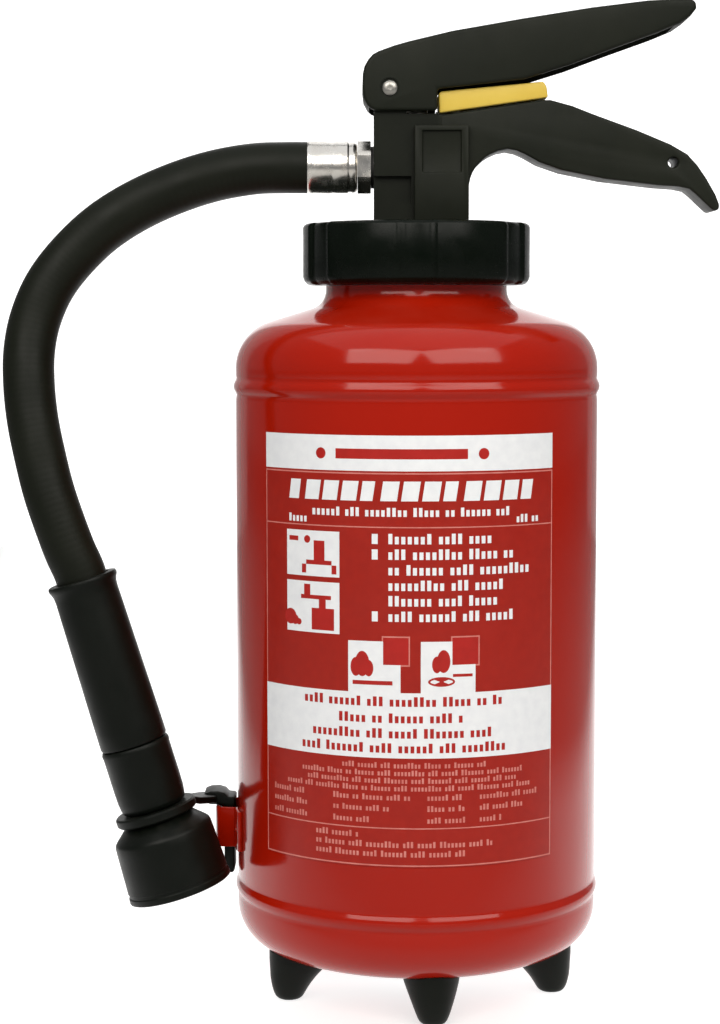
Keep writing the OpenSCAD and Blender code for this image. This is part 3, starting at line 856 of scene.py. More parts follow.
@dataclass
class Tank:
    """The red pressure tank with its bracket, boss and neck."""

    radius: float = 65.0
    wall: float = 1.5
    neck: float = 32.5
    bead: float = 0.8
    lower_bead: float = 38.6
    upper_bead: float = 219.2

    def bead_points(self, middle: float) -> list[Point]:
        """A rolled bead's round ridge and the fine groove under it, going up."""
        ridge = [(self.radius + self.bead * math.sin(math.pi * i / 8), middle - 2.4 + 4.8 * i / 8)
                 for i in range(9)]
        return [(self.radius - 0.25, middle - 3.0), *ridge, (self.radius - 0.25, middle + 3.0)]

    def profile(self) -> list[Point]:
        """The tank's section, from the middle of its floor up the outside and down the inside."""
        r, w, n = self.radius, self.wall, self.neck
        outside = [(0, 20), (18, 20), (24, 19), (32, 16.9)] + arc(r - 16, 32, 16, -90, 0, 16)
        outside += [(r, 34.6), *self.bead_points(self.lower_bead), (r, 42.6), (r, 100), (r, 160), (r, 214.6)]
        outside += [*self.bead_points(self.upper_bead), (r, 223.2)] + arc(r - 17.5, 225.5, 17.5, 2, 70, 16)
        outside += arc(n + 7, 253.6, 7, 250, 180, 8) + [(n, 254.85)]
        inside = [(n - w, 254.85)] + arc(n + 7, 253.6, 7 + w, 180, 250, 6)
        inside += arc(r - 17.5, 225.5, 17.5 - w, 70, 0, 10) + [(r - w, 41)]
        inside += arc(r - 16, 32, 16 - w, 0, -90, 10) + [(32, 18.4), (24, 20.5), (18, 21.5), (0, 21.5)]
        return outside + inside

    def shell(self, paints: Paints) -> None:
        """The painted tank, spun from its section."""
        skin = Bench.turned("tank_shell", metres(self.profile()), 192, closed=False)
        Bench.shown(skin, Body.TANK, paints.red, Slot.RED, "bottom_dome", "shell_wall", "top_dome", smooth=40)

    def bracket(self, paints: Paints) -> None:
        """The strap that the nozzle's clip drops into, bent from one strip and welded at both ends."""
        r, plate, half, out = self.radius, 1.5, 8.6, 72.7
        ends = [math.radians(a) for a in (15.0, 12.0, 9.0, 7.6)]
        feet = [(-(r + plate) * math.cos(a), -(r + plate) * math.sin(a)) for a in ends]
        inner_feet = [(-(r + 0.02) * math.cos(a), -(r + 0.02) * math.sin(a)) for a in ends]
        lower = feet + [(-out + 2.0, -half), (-out + 0.6, -half + 0.6), (-out, -half + 2.0)]
        inner = inner_feet + [(-out + 2.4, -half + plate), (-out + 1.7, -half + 1.8),
                              (-out + plate, -half + 2.6)]
        loop = (lower + [(x, -y) for x, y in reversed(lower)] + [(x, -y) for x, y in inner]
                + list(reversed(inner)))
        low, high = 52.5, 67.0
        strap = Bench.wire("nozzle_bracket", metres([(x, y, low) for x, y in loop]))

        def raise_it() -> None:
            """Fills the outline and raises it into a solid."""
            bpy.ops.mesh.edge_face_add()
            bpy.ops.mesh.extrude_region_move(TRANSFORM_OT_translate={"value": (0, 0, (high - low) * MM)})
            bpy.ops.mesh.select_all(action="SELECT")
            bpy.ops.mesh.normals_make_consistent(inside=False)

        Bench.edit(strap, raise_it)
        for side in (-1, 1):
            turn = math.radians(180 + side * 11.5)
            out_way = Vector((math.cos(turn), math.sin(turn), 0))
            pit = Vector((0, 0, 60.5 * MM))
            Bench.cut(strap, Bench.rod("pit", pit + out_way * (r + 0.7) * MM,
                                       pit + out_way * (r + 6) * MM, 1.5 * MM, 24))
        Bench.rounded(strap, 0.25 * MM, 2, 40)
        Bench.shown(strap, Body.TANK, paints.red, Slot.RED, "hose_bracket")

    def build(self, paints: Paints) -> None:
        """Builds the tank's pieces."""
        self.shell(paints)
        self.bracket(paints)


# ------------------------------------------------------------------------------------------- label


@dataclass
class Label:
    """The wrapped film and its print. All words are shown as plain bars, and the signs are simple shapes."""

    radius: float = 65.02
    film: float = 0.22
    ink: float = 0.03
    left: float = -53.8
    right: float = 44.0
    low: float = 58.5
    high: float = 204.6
    word_lengths: tuple[int, ...] = (7, 4, 6, 3, 8, 5, 2, 6, 4, 9, 3, 5, 7, 4)
    patches: list[tuple[Point, Point, Point, Point]] = field(default_factory=list)

    def across(self, angle: float) -> float:
        """The flat distance from the label's front line to an angle in degrees, in millimetres."""
        return self.radius * math.radians(angle)

    def block(self, left: float, right: float, low: float, high: float) -> None:
        """Notes a plain rectangle for the open layer, between two angles and two heights."""
        a, b = self.across(left), self.across(right)
        count = max(1, round((b - a) / 1.5))
        for i in range(count):
            x0, x1 = a + (b - a) * i / count, a + (b - a) * (i + 1) / count
            self.patches.append(((x0, low), (x1, low), (x1, high), (x0, high)))

    def disc(self, angle: float, height: float, radius: float, squash: float = 1.0) -> None:
        """Notes a filled disc or oval for the open layer, as a fan of four-sided patches."""
        x = self.across(angle)
        turns = [2 * math.pi * i / 24 for i in range(25)]
        rim = [(x + radius * math.cos(a), height + radius * squash * math.sin(a)) for a in turns]
        for i in range(0, 24, 2):
            self.patches.append(((x, height), rim[i], rim[i + 1], rim[i + 2]))

    def frame(self, left: float, right: float, low: float, high: float, line: float) -> None:
        """Adds a thin rectangular frame; line is its thickness in millimetres."""
        wide = math.degrees(line / self.radius)
        self.block(left, right, high - line, high)
        self.block(left, right, low, low + line)
        self.block(left, left + wide, low + line, high - line)
        self.block(right - wide, right, low + line, high - line)

    def words(self, left: float, right: float, base: float, size: float, seed: int) -> None:
        """Adds a row of plain bars that reads as a line of small print from afar.

        Args:
            left: where the row starts, in degrees.
            right: where it ends.
            base: the height of its base line in millimetres.
            size: the height of its tall bars.
            seed: which word of the pattern it starts with.
        """
        step = math.degrees(size * 0.62 / self.radius)
        stroke = step * 0.62
        at, word = left, seed
        while at < right - step:
            letters = self.word_lengths[word % len(self.word_lengths)]
            for letter in range(letters):
                if at > right - stroke:
                    break
                tall = (letter * 3 + word * 5) % 7 in (0, 4)
                self.block(at, at + stroke, base, base + size * (1.0 if tall else 0.72))
                at += step
            at += step * 0.8
            word += 1

    def close(self, name: str, radius: float, thickness: float, paint: bpy.types.Material,
              *nodes: str) -> None:
        """Lays the noted patches as one layer, wraps it round the tank, thickens and finishes it.

        Args:
            name: the layer's name.
            radius: the radius of its outer face in millimetres.
            thickness: how deep it goes inwards from there.
            paint: its finish.
            nodes: the CAD nodes that it replaces.
        """
        Bench.pick()
        bpy.ops.mesh.primitive_grid_add(x_subdivisions=len(self.patches), y_subdivisions=1, size=1)
        layer = bpy.context.object
        layer.name = name
        Bench.edit(layer, bpy.ops.mesh.edge_split)
        for face, patch in zip(layer.data.polygons, self.patches):
            for index, (x, z) in zip(face.vertices, patch):
                layer.data.vertices[index].co = (x * MM, 0, z * MM)
        self.patches = []
        Bench.edit(layer, lambda: bpy.ops.mesh.remove_doubles(threshold=1e-6))
        Bench.moved(layer, Matrix.Identity(4))
        if layer.data.polygons[0].normal.y > 0:
            Bench.edit(layer, bpy.ops.mesh.flip_normals)
        spans = [v.co.x for v in layer.data.vertices]
        turn = (max(spans) - min(spans)) / (radius * MM)
        Bench.modify(layer, "SIMPLE_DEFORM", deform_method="BEND", deform_axis="Z", angle=turn)
        Bench.moved(layer, Matrix.Translation((0, -radius * MM, 0)))
        Bench.modify(layer, "SOLIDIFY", thickness=thickness * MM, offset=-1.0)
        Bench.shown(layer, Body.TANK, paint, Slot.LABEL, *nodes, smooth=40)

    def base(self, paints: Paints) -> None:
        """The red film itself."""
        self.block(self.left, self.right, self.low, self.high)
        self.close("label_film", self.radius + self.film, self.film - 0.005, paints.film, "label")

    def bright(self, paints: Paints) -> None:
        """Everything printed in full white."""
        self.block(self.left, self.right, 192.6, 204.5)
        self.block(self.left, self.right, 95.8, 118.0)
        self.heading(-43.0, 37.5, 182.6, 189.2)
        for low, high in ((156.4, 171.9), (137.2, 154.6)):
            self.block(-44.0, -24.8, low, high)
        for left, right in ((-22.0, -6.0), (0.0, 16.5)):
            self.block(left, right, 118.0, 135.4)
        for row, (stop, number) in enumerate(((22, True), (29, True), (37.5, False), (29, False),
                                              (24, False), (29, True))):
            base = 168.2 - 5.22 * row
            self.words(-9.6, stop, base, 3.5, row * 3)
            if number:
                self.block(-14.6, -12.8, base, base + 3.4)
        self.words(-34, 28, 177.4, 3.0, 2)
        self.words(-43, -36, 174.8, 2.7, 7)
        self.words(30, 38, 174.8, 2.7, 3)
        self.close("label_white", self.radius + self.film + self.ink, self.ink * 0.8, paints.white_ink)

    def heading(self, left: float, right: float, low: float, high: float) -> None:
        """Notes the heading's row as plain slanted blocks, one per sign."""
        count, slices, lean = 13, 4, 1.0
        step = (self.across(right) - self.across(left)) / count
        for i in range(count):
            x = self.across(left) + step * i
            wide = step * (0.8 if i % 4 else 0.62) / slices
            for _ in range(slices):
                self.patches.append(((x, low), (x + wide, low), (x + wide + lean, high), (x + lean, high)))
                x += wide

    def faint(self, paints: Paints) -> None:
        """Fine lines and small print, which are thinner than the rest."""
        self.frame(self.left, self.right, 58.8, 192.0, 0.45)
        self.block(self.left + 0.4, self.right - 0.4, 173.6, 174.0)
        self.block(self.left + 0.4, self.right - 0.4, 71.6, 72.0)
        rows = ((92.4, -24, 20, 1), (89.8, -38, 33, 4), (87.2, -36, 31, 8), (84.6, -44, 36, 2))
        for base, left, right, seed in rows:
            self.words(left, right, base, 1.9, seed)
        for index, base in enumerate((81.4, 77.6, 73.6)):
            self.words(-50, -36, base, 2.0, index * 4)
            self.words(-27, -3 - 6 * index, base, 2.0, index + 5)
            self.words(2, 14, base, 2.0, index * 3 + 2)
            self.words(18, 40 - 7 * index, base, 2.0, index + 9)
        for index, (base, right) in enumerate(((68.4, -18), (65.2, 23), (62.0, 14))):
            self.words(-33, right, base, 2.1, index * 5 + 1)
        for left, right in ((-11.6, -3.2), (9.0, 17.8)):
            self.frame(left, right, 127.0, 137.2, 0.5)
        self.close("label_fine_print", self.radius + self.film + self.ink * 0.8, self.ink * 0.6,
                   paints.faint_ink)

    def darker(self, paints: Paints) -> None:
        """The red print on the white areas: bars, and the signs' simple shapes."""
        self.block(-26.0, 14.0, 196.6, 200.0)
        for x in (-31.0, 19.0):
            self.disc(x, 198.3, 1.9)
        for index, (base, left, right) in enumerate(
                ((113.4, -37, 26), (107.8, -25, 14), (102.6, -34, 23), (97.6, -38, 27))):
            self.words(left, right, base, 3.3, index * 4 + 1)
        for left, right in ((-11.2, -3.6), (9.4, 17.4)):
            self.block(left, right, 127.5, 136.7)
        self.signs()
        self.close("label_red_print", self.radius + self.film + self.ink * 1.7, self.ink * 0.6,
                   paints.red_ink)

    def signs(self) -> None:
        """Adds the four small signs: a ring pull, a lever being pressed, flames, and a pan."""
        self.disc(-36.0, 168.9, 1.3)
        self.block(-43.0, -39.4, 168.2, 169.8)
        self.block(-33.6, -29.8, 161.8, 168.6)
        self.block(-36.4, -27.4, 160.4, 161.9)
        self.block(-38.0, -36.4, 157.4, 160.4)
        self.block(-27.4, -25.8, 157.4, 160.4)
        self.block(-34.4, -26.6, 138.2, 145.6)
        self.block(-31.8, -29.4, 145.6, 150.0)
        self.block(-38.4, -27.6, 148.6, 150.0)
        self.block(-37.2, -34.9, 150.0, 153.6)
        for x, tall in ((-42.6, 5.4), (-40.8, 3.4), (-39.2, 2.2)):
            self.disc(x, 139.4 + tall / 2, tall / 2, 1.0)
        for x, tall in ((-19.6, 6.4), (-17.6, 8.6), (-15.6, 5.6)):
            self.disc(x, 123.4 + tall / 2, tall / 3.4, 1.7)
        self.block(-20.6, -8.4, 120.6, 122.0)
        self.disc(6.2, 121.8, 4.6, 0.36)
        self.block(9.6, 15.6, 123.4, 124.4)
        for x, tall in ((4.8, 6.0), (6.8, 8.2)):
            self.disc(x, 124.6 + tall / 2, tall / 3.6, 1.7)

    def build(self, paints: Paints) -> None:
        """Builds the film and its print."""
        self.base(paints)
        self.bright(paints)
        self.faint(paints)
        self.darker(paints)


# -------------------------------------------------------------------------------------------- feet


@dataclass
class FootSpider:
    """The black stand: a hub, five arms and five rounded feet in one moulding."""

    count: int = 5
    twist: float = -84.6
    circle: float = 50.0
    floor_z: float = 15.9
    levels: tuple[tuple[float, float, float, float], ...] = (
        (0.0, 0.0, 3.9, 3.9), (0.3, 0.0, 4.5, 4.5), (1.2, 0.0, 5.2, 5.1), (2.8, -0.1, 6.0, 5.8),
        (5.2, -0.6, 7.1, 6.7),
        (8.0, -1.6, 8.5, 7.7), (11.0, -3.2, 10.2, 8.8), (14.0, -5.0, 12.2, 9.8), (16.0, -6.0, 13.2, 10.2),
        (19.0, -6.4, 13.6, 10.5),
    )

    def foot(self) -> bpy.types.Object:
        """One foot, drawn up from its pad over ovals that lean inwards."""
        steps = 40
        rings = []
        for z, shift, long, wide in self.levels:
            ring = []
            for i in range(steps):
                a = 2 * math.pi * i / steps
                ring.append((self.circle + shift + long * math.cos(a), wide * math.sin(a), z))
            rings.append(ring)
        return Bench.stacked("foot", metres_rings(rings))

    def under_dome(self, point: Vector) -> float:
        """The highest that the moulding may reach at a point, just under the tank."""
        out = math.hypot(point.x, point.y) / MM
        if out <= 49.0:
            return self.floor_z
        return 32 - math.sqrt(max(0.0, 16.15 ** 2 - (out - 49.0) ** 2))

    def build(self, paints: Paints) -> None:
        """Builds the stand as one soft-edged moulding."""
        foot = self.foot()
        arm = Bench.prism("arm", metres([(10, 12.4), (44, 12.4), (46, 13.2), (46, 15.8), (10, 15.8)]), 7 * MM)
        Bench.rounded(arm, 1.0 * MM, 2)
        post = Bench.joined(foot, arm)
        parts = [Bench.copied(post, "part",
                              Matrix.Rotation(math.radians(self.twist + 360 / self.count * i), 4, "Z"))
                 for i in range(self.count)]
        bpy.data.objects.remove(post)
        hub = Bench.turned("foot_spider", metres([(3.4, 12.6), (20, 12.6), (22, 13.6), (22, 15.8),
                                                  (3.4, 15.8)]), 96)
        stand = Bench.joined(hub, *parts)
        Bench.modify(stand, "REMESH", mode="VOXEL", voxel_size=0.65 * MM)
        Bench.modify(stand, "CORRECTIVE_SMOOTH", iterations=6, smooth_type="SIMPLE", use_only_smooth=True)
        for vertex in stand.data.vertices:
            vertex.co.z = max(0.0, min(vertex.co.z, self.under_dome(vertex.co) * MM))
        Bench.shown(stand, Body.TANK, paints.foot, Slot.BLACK, "base_spider", smooth=60)


def metres_rings(rings: Sequence[Sequence[Sequence[float]]]) -> list[list[tuple[float, ...]]]:
    """Rings of millimetre points in metres."""
    return [metres(ring) for ring in rings]


# -------------------------------------------------------------------------------------------- head


@dataclass
class CapNut:
    """The black union nut with its broad finger lobes."""

    radius: float = 40.6
    low: float = 255.0
    high: float = 277.0
    lobes: int = 6
    groove_at: float = -69.0
    groove_wide: float = 17.0
    groove_deep: float = 1.25
    slope: float = 2.6
    steps: int = 240

    def rim(self, angle: float) -> float:
        """The outer radius at an angle from the front in degrees."""
        period = 360 / self.lobes
        into = (angle - self.groove_at) % period
        edge = min(into, self.groove_wide - into) if into < self.groove_wide else -min(
            into - self.groove_wide, period - into)
        share = max(0.0, min(1.0, edge / self.slope + 0.5))
        return self.radius - self.groove_deep * share * share * (3 - 2 * share)

    def build(self, paints: Paints) -> None:
        """Builds the nut ring by ring: up the outside, over the top and down the bore."""
        outer = [(-2.8, self.low + 0.1), (-1.5, self.low + 0.5), (-0.5, self.low + 1.6),
                 (0.0, self.low + 3.0), (0.0, self.low + 11), (0.0, self.high - 1.5),
                 (-0.35, self.high - 0.7), (-1.1, self.high - 0.15),
                 (-2.0, self.high)]
        inner = [(30.0, self.high), (29.4, self.high + 0.0), (21.2, self.high), (20.6, self.high - 0.5),
                 (20.6, self.high - 3.6), (31.7, self.high - 3.6), (31.7, self.low + 1.2), (32.8, self.low)]
        rings = []
        for shift, z in outer:
            ring = []
            for i in range(self.steps):
                angle = 360 * i / self.steps
                out = self.rim(angle) + shift
                turn = math.radians(angle - 90)
                ring.append((out * math.cos(turn), out * math.sin(turn), z))
            rings.append(ring)
        for out, z in inner:
            rings.append([(out * math.cos(math.radians(360 * i / self.steps - 90)),
                           out * math.sin(math.radians(360 * i / self.steps - 90)), z)
                          for i in range(self.steps)])
        nut = Bench.stacked("cap_nut_ring", metres_rings(rings))
        caps = [f.index for f in nut.data.polygons if len(f.vertices) == self.steps]

        def bridge() -> None:
            """Joins the two end rings and turns every face outwards."""
            bpy.ops.mesh.select_mode(type="FACE")
            bpy.ops.mesh.select_all(action="DESELECT")
            bpy.ops.object.mode_set(mode="OBJECT")
            for index in caps:
                nut.data.polygons[index].select = True
            bpy.ops.object.mode_set(mode="EDIT")
            bpy.ops.mesh.bridge_edge_loops()
            bpy.ops.mesh.select_all(action="SELECT")
            bpy.ops.mesh.normals_make_consistent(inside=False)

        Bench.edit(nut, bridge)
        Bench.shown(nut, Body.NUT, paints.gloss, Slot.GLOSS, "union_nut", smooth=38)


@dataclass
class Handles:
    """The carry handle, the squeeze lever, the safety wedge and the lever's pin."""

    handle_half: float = 10.4
    lever_half: float = 13.0
    cheek: float = 2.0
    safety_half: float = 10.2
    pivot: Point = (-9.6, 323.9)
    hole: Point = (90.4, 298.0)
    handle_outline: tuple[Point, ...] = (
        (8.1, 314.6), (43.5, 319.8), (47, 319.9), (54.7, 317.8), (62.1, 314.9), (77.5, 309.3), (89.3, 304.4),
        (95.4, 300.9), (99, 297), (102.2, 292.4), (105.5, 286.7), (107, 282.9), (106.5, 281.2),
        (104.7, 281.1),
        (101.6, 283.9), (98.7, 286.7), (96.2, 288.7), (92.4, 289.5), (85.2, 290), (65.9, 292.3),
        (51.3, 295.3),
        (43.2, 298.1), (38.2, 300.9), (35.2, 302.2), (32, 302.8), (28.8, 302.2), (26, 301), (23.9, 299.7),
        (22.1, 298), (20.7, 296.4), (19.7, 294.8), (18.9, 292.8), (18.4, 290.4), (18.2, 287), (18.2, 277.7),
        (8.1, 277.7),
    )
    stop_outline: tuple[Point, ...] = (
        (6.7, 311.2), (10, 311.2), (10, 314.7), (7.7, 314.6), (7.2, 315.7), (6.7, 315.7))
    lever_outline: tuple[Point, ...] = (
        (-14.6, 316), (-16.2, 316.7), (-17.5, 317.9), (-18.9, 320.5), (-19.3, 324), (-19.1, 329),
        (-18.5, 331.5),
        (-17.2, 333.8), (-15.6, 335.6), (-13.6, 336.7), (-8, 338.7), (-2.6, 340.2), (12.3, 343.7),
        (36.7, 347.9),
        (61.1, 351.7), (80.9, 354.1), (95.4, 354.8), (97.6, 353.6), (97.7, 351.3), (95.6, 348.6), (92, 346.1),
        (84.2, 342.9), (68.7, 337.4), (53.5, 331.8), (37.6, 326.9), (7.1, 323.6), (7.1, 316),
    )
    hollow_outline: tuple[Point, ...] = (
        (-16.9, 310), (-16.9, 328), (-15.4, 332.4), (-12.4, 334.6), (-2, 338), (12.8, 341.4), (37, 345.7),
        (61.3, 349.5), (81, 351.9), (91, 352.2), (92.6, 350.4), (90, 347.6), (90, 330), (20, 310),
    )
    pad_outline: tuple[Point, ...] = ((-5.5, 321.2), (4, 321.2), (5.6, 341), (-5.5, 338.5))
    safety_outline: tuple[Point, ...] = (
        (7.9, 315.4), (46.1, 320.8), (45.6, 324.6), (44.4, 326.3), (8.3, 322.9), (7.5, 322))

    def cross_rod(self, spot: Point, radius: float) -> bpy.types.Object:
        """A cutting rod along Y."""
        x, z = spot[0] * MM, spot[1] * MM
        return Bench.rod("drill", Vector((x, -0.03, z)), Vector((x, 0.03, z)), radius * MM, 40)

    def handle(self, paints: Paints) -> None:
        """The carry handle: a rounded beam on a yoke that hugs the valve column."""
        beam = Bench.prism("beam", metres(self.handle_outline), self.handle_half * MM)
        Bench.cut(beam, self.cross_rod(self.hole, 1.8))
        Bench.rounded(beam, 1.5 * MM, 4, 35)
        stop = Bench.prism("stop", metres(self.stop_outline), 10.2 * MM)
        yoke = Bench.prism("carry_handle_body",
                           metres([(-1, 277.7), (18.2, 277.7), (18.2, 310.9), (-1, 310.9)]), 13.5 * MM)
        slot = Bench.prism("slot", metres([(-4, 270), (8.1, 270), (8.1, 330), (-4, 330)]), 10.6 * MM)
        windows = [Bench.prism("window", metres([(1.9, 294.5), (15.5, 294.5), (15.5, 309.1), (1.9, 309.1)]),
                               1.4 * MM, side * 13.7 * MM) for side in (-1, 1)]
        Bench.cut(yoke, slot, *windows)
        Bench.rounded(yoke, 0.45 * MM, 3, 35)
        handle = Bench.joined(yoke, beam, stop)
        Bench.shown(handle, Body.TANK, paints.black, Slot.BLACK, "carry_handle")

    def lever(self, paints: Paints) -> None:
        """The squeeze lever: a channel with thin cheeks, open below, and the pad that presses the spindle."""
        shell = Bench.prism("squeeze_lever_shell", metres(self.lever_outline), self.lever_half * MM)
        Bench.rounded(shell, 1.3 * MM, 4, 50)
        hollow = Bench.prism("hollow", metres(self.hollow_outline), (self.lever_half - self.cheek) * MM)
        Bench.cut(shell, hollow, self.cross_rod(self.pivot, 2.55))
        for side in (-1, 1):
            x, z = self.pivot[0] * MM, self.pivot[1] * MM
            seat = Bench.rod("seat", Vector((x, side * 0.01235, z)), Vector((x, side * 0.02, z)),
                             3.5 * MM, 40)
            Bench.cut(shell, seat)
        pad = Bench.rounded(Bench.prism("pad", metres(self.pad_outline), 4.5 * MM), 0.4 * MM, 2)
        lever = Bench.joined(shell, pad)
        Bench.shown(lever, Body.LEVER, paints.black, Slot.BLACK, "lever")

    def pin(self, paints: Paints) -> None:
        """The pivot pin with its upset rivet heads."""
        core = Bench.turned("lever_rivet", metres([
            (0, -13.4), (0.7, -13.5), (1.3, -13.5), (2.1, -13.2), (2.6, -12.8), (2.6, -12.6), (2.5, -12.55),
            (2.5, 12.55), (2.6, 12.6), (2.6, 12.8), (2.1, 13.2), (1.3, 13.5), (0.7, 13.5), (0, 13.4)]),
            48, closed=False)
        Bench.moved(core, Matrix.Translation((self.pivot[0] * MM, 0, self.pivot[1] * MM))
                    @ Matrix.Rotation(math.radians(90), 4, "X"))
        Bench.shown(core, Body.TANK, paints.steel, Slot.STEEL, "pivot_pin")

    def safety(self, paints: Paints) -> None:
        """The yellow wedge that keeps the lever up."""
        wedge = Bench.prism("safety_wedge_strip", metres(self.safety_outline), self.safety_half * MM)
        Bench.rounded(wedge, 0.9 * MM, 4, 25)
        Bench.shown(wedge, Body.SAFETY, paints.yellow, Slot.YELLOW, "safety")

    def build(self, paints: Paints) -> None:
        """Builds the handles' pieces."""
        self.handle(paints)
        self.lever(paints)
        self.pin(paints)
        self.safety(paints)


@dataclass
class ValveSpring:
    """The spindle's return spring, between its seat and the spindle."""

    radius: float = 3.65
    wire: float = 0.32
    low: float = 304.5
    high: float = 316.8
    turns: int = 6
    steps: int = 24

    def build(self, paints: Paints) -> None:
        """Builds the spring's wire with its first and last turns closed up."""
        total = (self.turns + 2) * self.steps
        line = []
        for i in range(total + 1):
            turn = i / self.steps
            share = max(0.0, min(1.0, (turn - 1) / self.turns))
            lift = self.wire * 2.1 * (max(0.0, turn - self.turns - 1) + min(1.0, turn))
            rise = self.high - self.low - self.wire * 4.2
            a = 2 * math.pi * turn
            line.append(Vector((self.radius * math.cos(a), self.radius * math.sin(a),
                                self.low + lift + rise * share)) * MM)
        spring = Bench.swept("return_spring", line, self.wire * MM, 8)
        Bench.pick(spring)
        bpy.ops.object.shade_smooth_by_angle(angle=math.radians(50))
        spring.data.materials.clear()
        spring.data.materials.append(paints.steel)
        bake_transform(spring)
        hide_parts("spindle_spring")
        log.info("%s: %d faces, squeezed between tank and spindle", spring.name, len(spring.data.polygons))


@dataclass
class Outlet:
    """The bright fitting between the valve and the hose."""

    height: float = 297.0
    ferrule_profile: tuple[Point, ...] = (
        (5.6, 21.1), (7.9, 21.1), (8.5, 21.5), (8.9, 22.2), (8.95, 23.0), (8.75, 23.5), (8.75, 24.0),
        (9.15, 24.6),
        (9.2, 29.0), (9.1, 29.4), (9.1, 30.4), (9.2, 30.8), (9.25, 36.6), (9.4, 37.2), (9.4, 38.4),
        (9.2, 38.8),
        (8.7, 38.85), (5.6, 38.85),
    )

    def build(self, paints: Paints) -> None:
        """Builds the crimped ferrule."""
        sleeve = Bench.turned("crimped_ferrule", metres(self.ferrule_profile), 96)
        Bench.moved(sleeve, Matrix.Translation((0, 0, self.height * MM))
                    @ Matrix.Rotation(math.radians(-90), 4, "Y"))
        Bench.shown(sleeve, Body.TANK, paints.chrome, Slot.CHROME, "ferrule")


# ------------------------------------------------------------------------------------------ nozzle


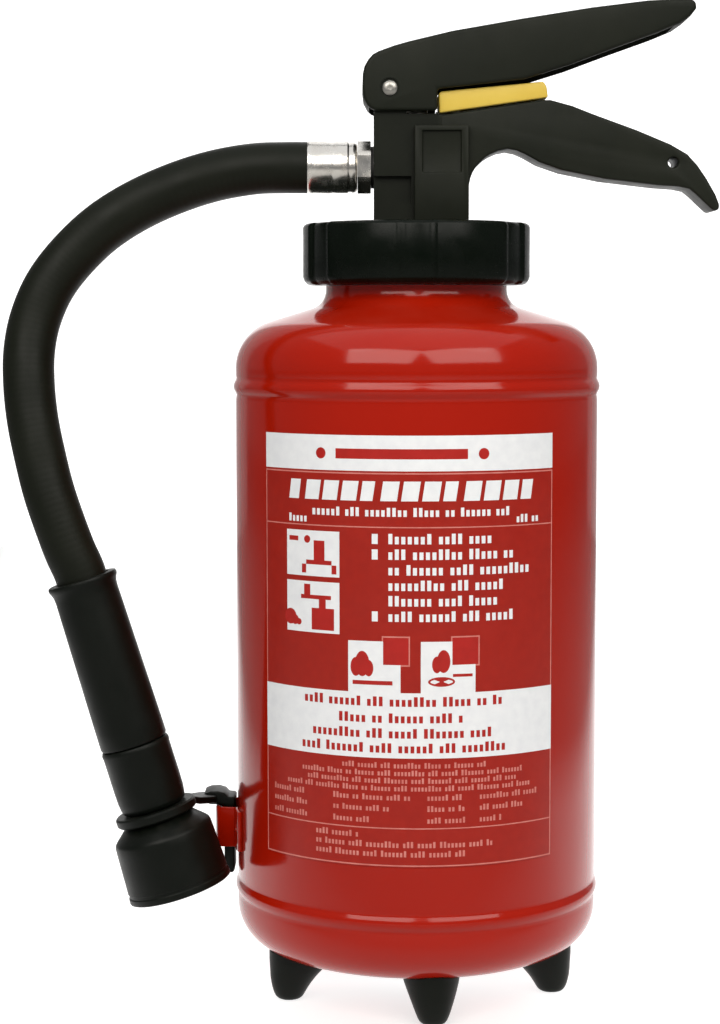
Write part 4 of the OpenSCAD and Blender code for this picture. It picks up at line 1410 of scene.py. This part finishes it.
@dataclass
class NozzleSet:
    """The grip sleeve, nozzle tube, clip and head at the hose's end."""

    axis: NozzleAxis
    bracket_top: float = 67.0
    tongue_x: float = -69.8

    def on_axis(self, name: str, profile: Sequence[Point], steps: int = 96) -> bpy.types.Object:
        """A piece turned about the nozzle's axis."""
        return Bench.moved(Bench.turned(name, metres(profile), steps), self.axis.matrix())

    def grip(self, paints: Paints) -> bpy.types.Object:
        """The soft grip sleeve with its flared rim."""
        sleeve = self.on_axis("grip_sleeve_skin", [
            (9.45, 75.7), (5.6, 75.4), (5.6, 54.8), (11.2, 54.8), (11.7, 55.1), (12.0, 55.8),
            (11.95, 62), (11.7, 80),
            (11.4, 104), (11.3, 110), (11.45, 112), (11.9, 113.4), (12.35, 114.3), (12.45, 115.1),
            (12.2, 115.8),
            (11.6, 116.0), (9.9, 116.0), (9.55, 115.6), (9.45, 115)])
        return Bench.shown(sleeve, Body.NOZZLE, paints.grip, Slot.GRIP, "grip_sleeve")

    def tube(self, paints: Paints) -> bpy.types.Object:
        """The nozzle tube that the grip is pushed on."""
        tube = self.on_axis("nozzle_barrel", [
            (3.6, 26.7), (8, 26.7), (8, 31.1), (10.9, 31.1), (11.3, 31.5), (11.7, 33), (12.0, 35.5),
            (12.1, 40),
            (12.1, 52.2), (12.25, 52.8), (12.25, 53.6), (11.9, 54.4), (11.4, 54.6), (3.6, 54.6)])
        return Bench.shown(tube, Body.NOZZLE, paints.grip, Slot.BLACK, "nozzle_tube")

    def head(self, paints: Paints) -> bpy.types.Object:
        """The nozzle head, a cup with a chamfered top and a slightly rolled mouth."""
        head = self.on_axis("nozzle_cup", [
            (16.0, 0.3), (16.4, 0.0), (18.0, 0.0), (18.5, 0.3), (18.6, 1.0), (18.45, 2.2), (18.1, 2.6),
            (18.05, 3.4),
            (18.3, 3.8), (17.75, 18.0), (17.6, 20.6), (17.3, 21.6), (16.6, 22.4), (12.2, 26.4),
            (11.4, 26.8), (10.6, 26.9),
            (8.2, 26.9), (8.2, 20), (15.6, 17.5)], 128)
        return Bench.shown(head, Body.NOZZLE, paints.grip, Slot.BLACK, "nozzle_head")

    def clip(self, paints: Paints) -> bpy.types.Object:
        """The clip: a collar round the nozzle's neck, an arm, and the tongue that drops into the bracket."""
        collar = self.on_axis("nozzle_clip_body", [
            (8.1, 27.3), (14.0, 27.3), (14.6, 27.9), (14.6, 30.1), (14.0, 30.7), (8.1, 30.7)])
        low = self.bracket_top + 0.4
        start = self.axis.matrix() @ Vector((11.0 * MM, 7.5 * MM, 29.0 * MM))
        path = [start, Vector((-80.5, -11.0, low + 3.2)) * MM, Vector((-76.2, -5.0, low + 2.4)) * MM,
                Vector((-72.5, -1.5, low + 1.6)) * MM]
        rings = []
        for point, half, thick in zip(path, (3.6, 4.2, 5.2, 6.2), (1.3, 1.3, 1.3, 1.3)):
            way = Vector((0.75, 0.65, 0)).normalized() if half < 6 else Vector((1, 0, 0))
            side = Vector((-way.y, way.x, 0))
            corners = [(-half, -thick), (half, -thick), (half, thick), (-half, thick)]
            rings.append([tuple(point + (side * a + Vector((0, 0, b))) * MM) for a, b in corners])
        arm = Bench.rounded(Bench.stacked("arm", rings), 0.5 * MM, 2, 40)
        x = self.tongue_x
        hook = Bench.prism("tongue", metres([
            (x - 5.8, low + 0.5), (x - 5.2, low + 0.1), (x, low), (x, 42.9), (x + 0.9, 42.3), (x + 2.9, 42.3),
            (x + 3.7, 43.2), (x + 3.7, low), (x + 4.0, low + 0.5), (x + 4.0, low + 2.3), (x + 3.4, low + 2.7),
            (x + 1.4, low + 2.8), (x + 0.2, low + 4.2), (x - 2.2, low + 4.9), (x - 5.0, low + 4.8),
            (x - 7.2, low + 4.0),
            (x - 7.6, low + 2.6), (x - 6.8, low + 1.2)]), 6.2 * MM)
        Bench.rounded(hook, 0.5 * MM, 3, 35)
        clip = Bench.joined(collar, arm, hook)
        return Bench.shown(clip, Body.NOZZLE, paints.grip, Slot.BLACK, "nozzle_clip")

    def build(self, paints: Paints) -> list[bpy.types.Object]:
        """Builds the set and returns its pieces."""
        return [self.grip(paints), self.tube(paints), self.head(paints), self.clip(paints)]


# -------------------------------------------------------------------------------------- frame parts


@dataclass
class FrameParts:
    """The CAD pieces that stay as they are and only get their finish."""

    finishes: dict[str, str] = field(default_factory=lambda: {
        "valve_body": "column", "neck_collar": "plated", "base_boss": "plated", "base_screw": "plated",
        "head_gasket": "seal", "relief_plug": "brass", "relief_seal": "seal", "spindle": "steel",
        "spindle_seal": "seal", "cartridge": "plated", "cartridge_seal": "seal",
        "cartridge_disc": "brass", "dip_tube": "tube", "dip_strainer": "tube", "outlet_adapter": "chrome",
        "adapter_seal": "seal", "hose_tail": "brass", "nozzle_spigot": "brass", "nozzle_insert": "black",
        "nozzle_seal": "seal",
    })

    def build(self, paints: Paints) -> None:
        """Gives each CAD piece its finish."""
        for node, paint in self.finishes.items():
            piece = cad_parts[node]
            piece.data.materials.clear()
            piece.data.materials.append(getattr(paints, paint))
            log.info("%s: frame part, %s", node, paint)


def main() -> None:
    """Builds the extinguisher, camera and hose first."""
    logging.basicConfig(level=logging.INFO, format="%(name)s: %(message)s")
    Studio().build()
    paints = Paints()
    axis = NozzleAxis()
    line = HoseLine(axis)
    hose = line.build(paints)
    nozzle = NozzleSet(axis).build(paints)
    line.declare()
    Tank().build(paints)
    Label().build(paints)
    FootSpider().build(paints)
    CapNut().build(paints)
    Handles().build(paints)
    ValveSpring().build(paints)
    Outlet().build(paints)
    FrameParts().build(paints)


if __name__ == "__main__":
    main()
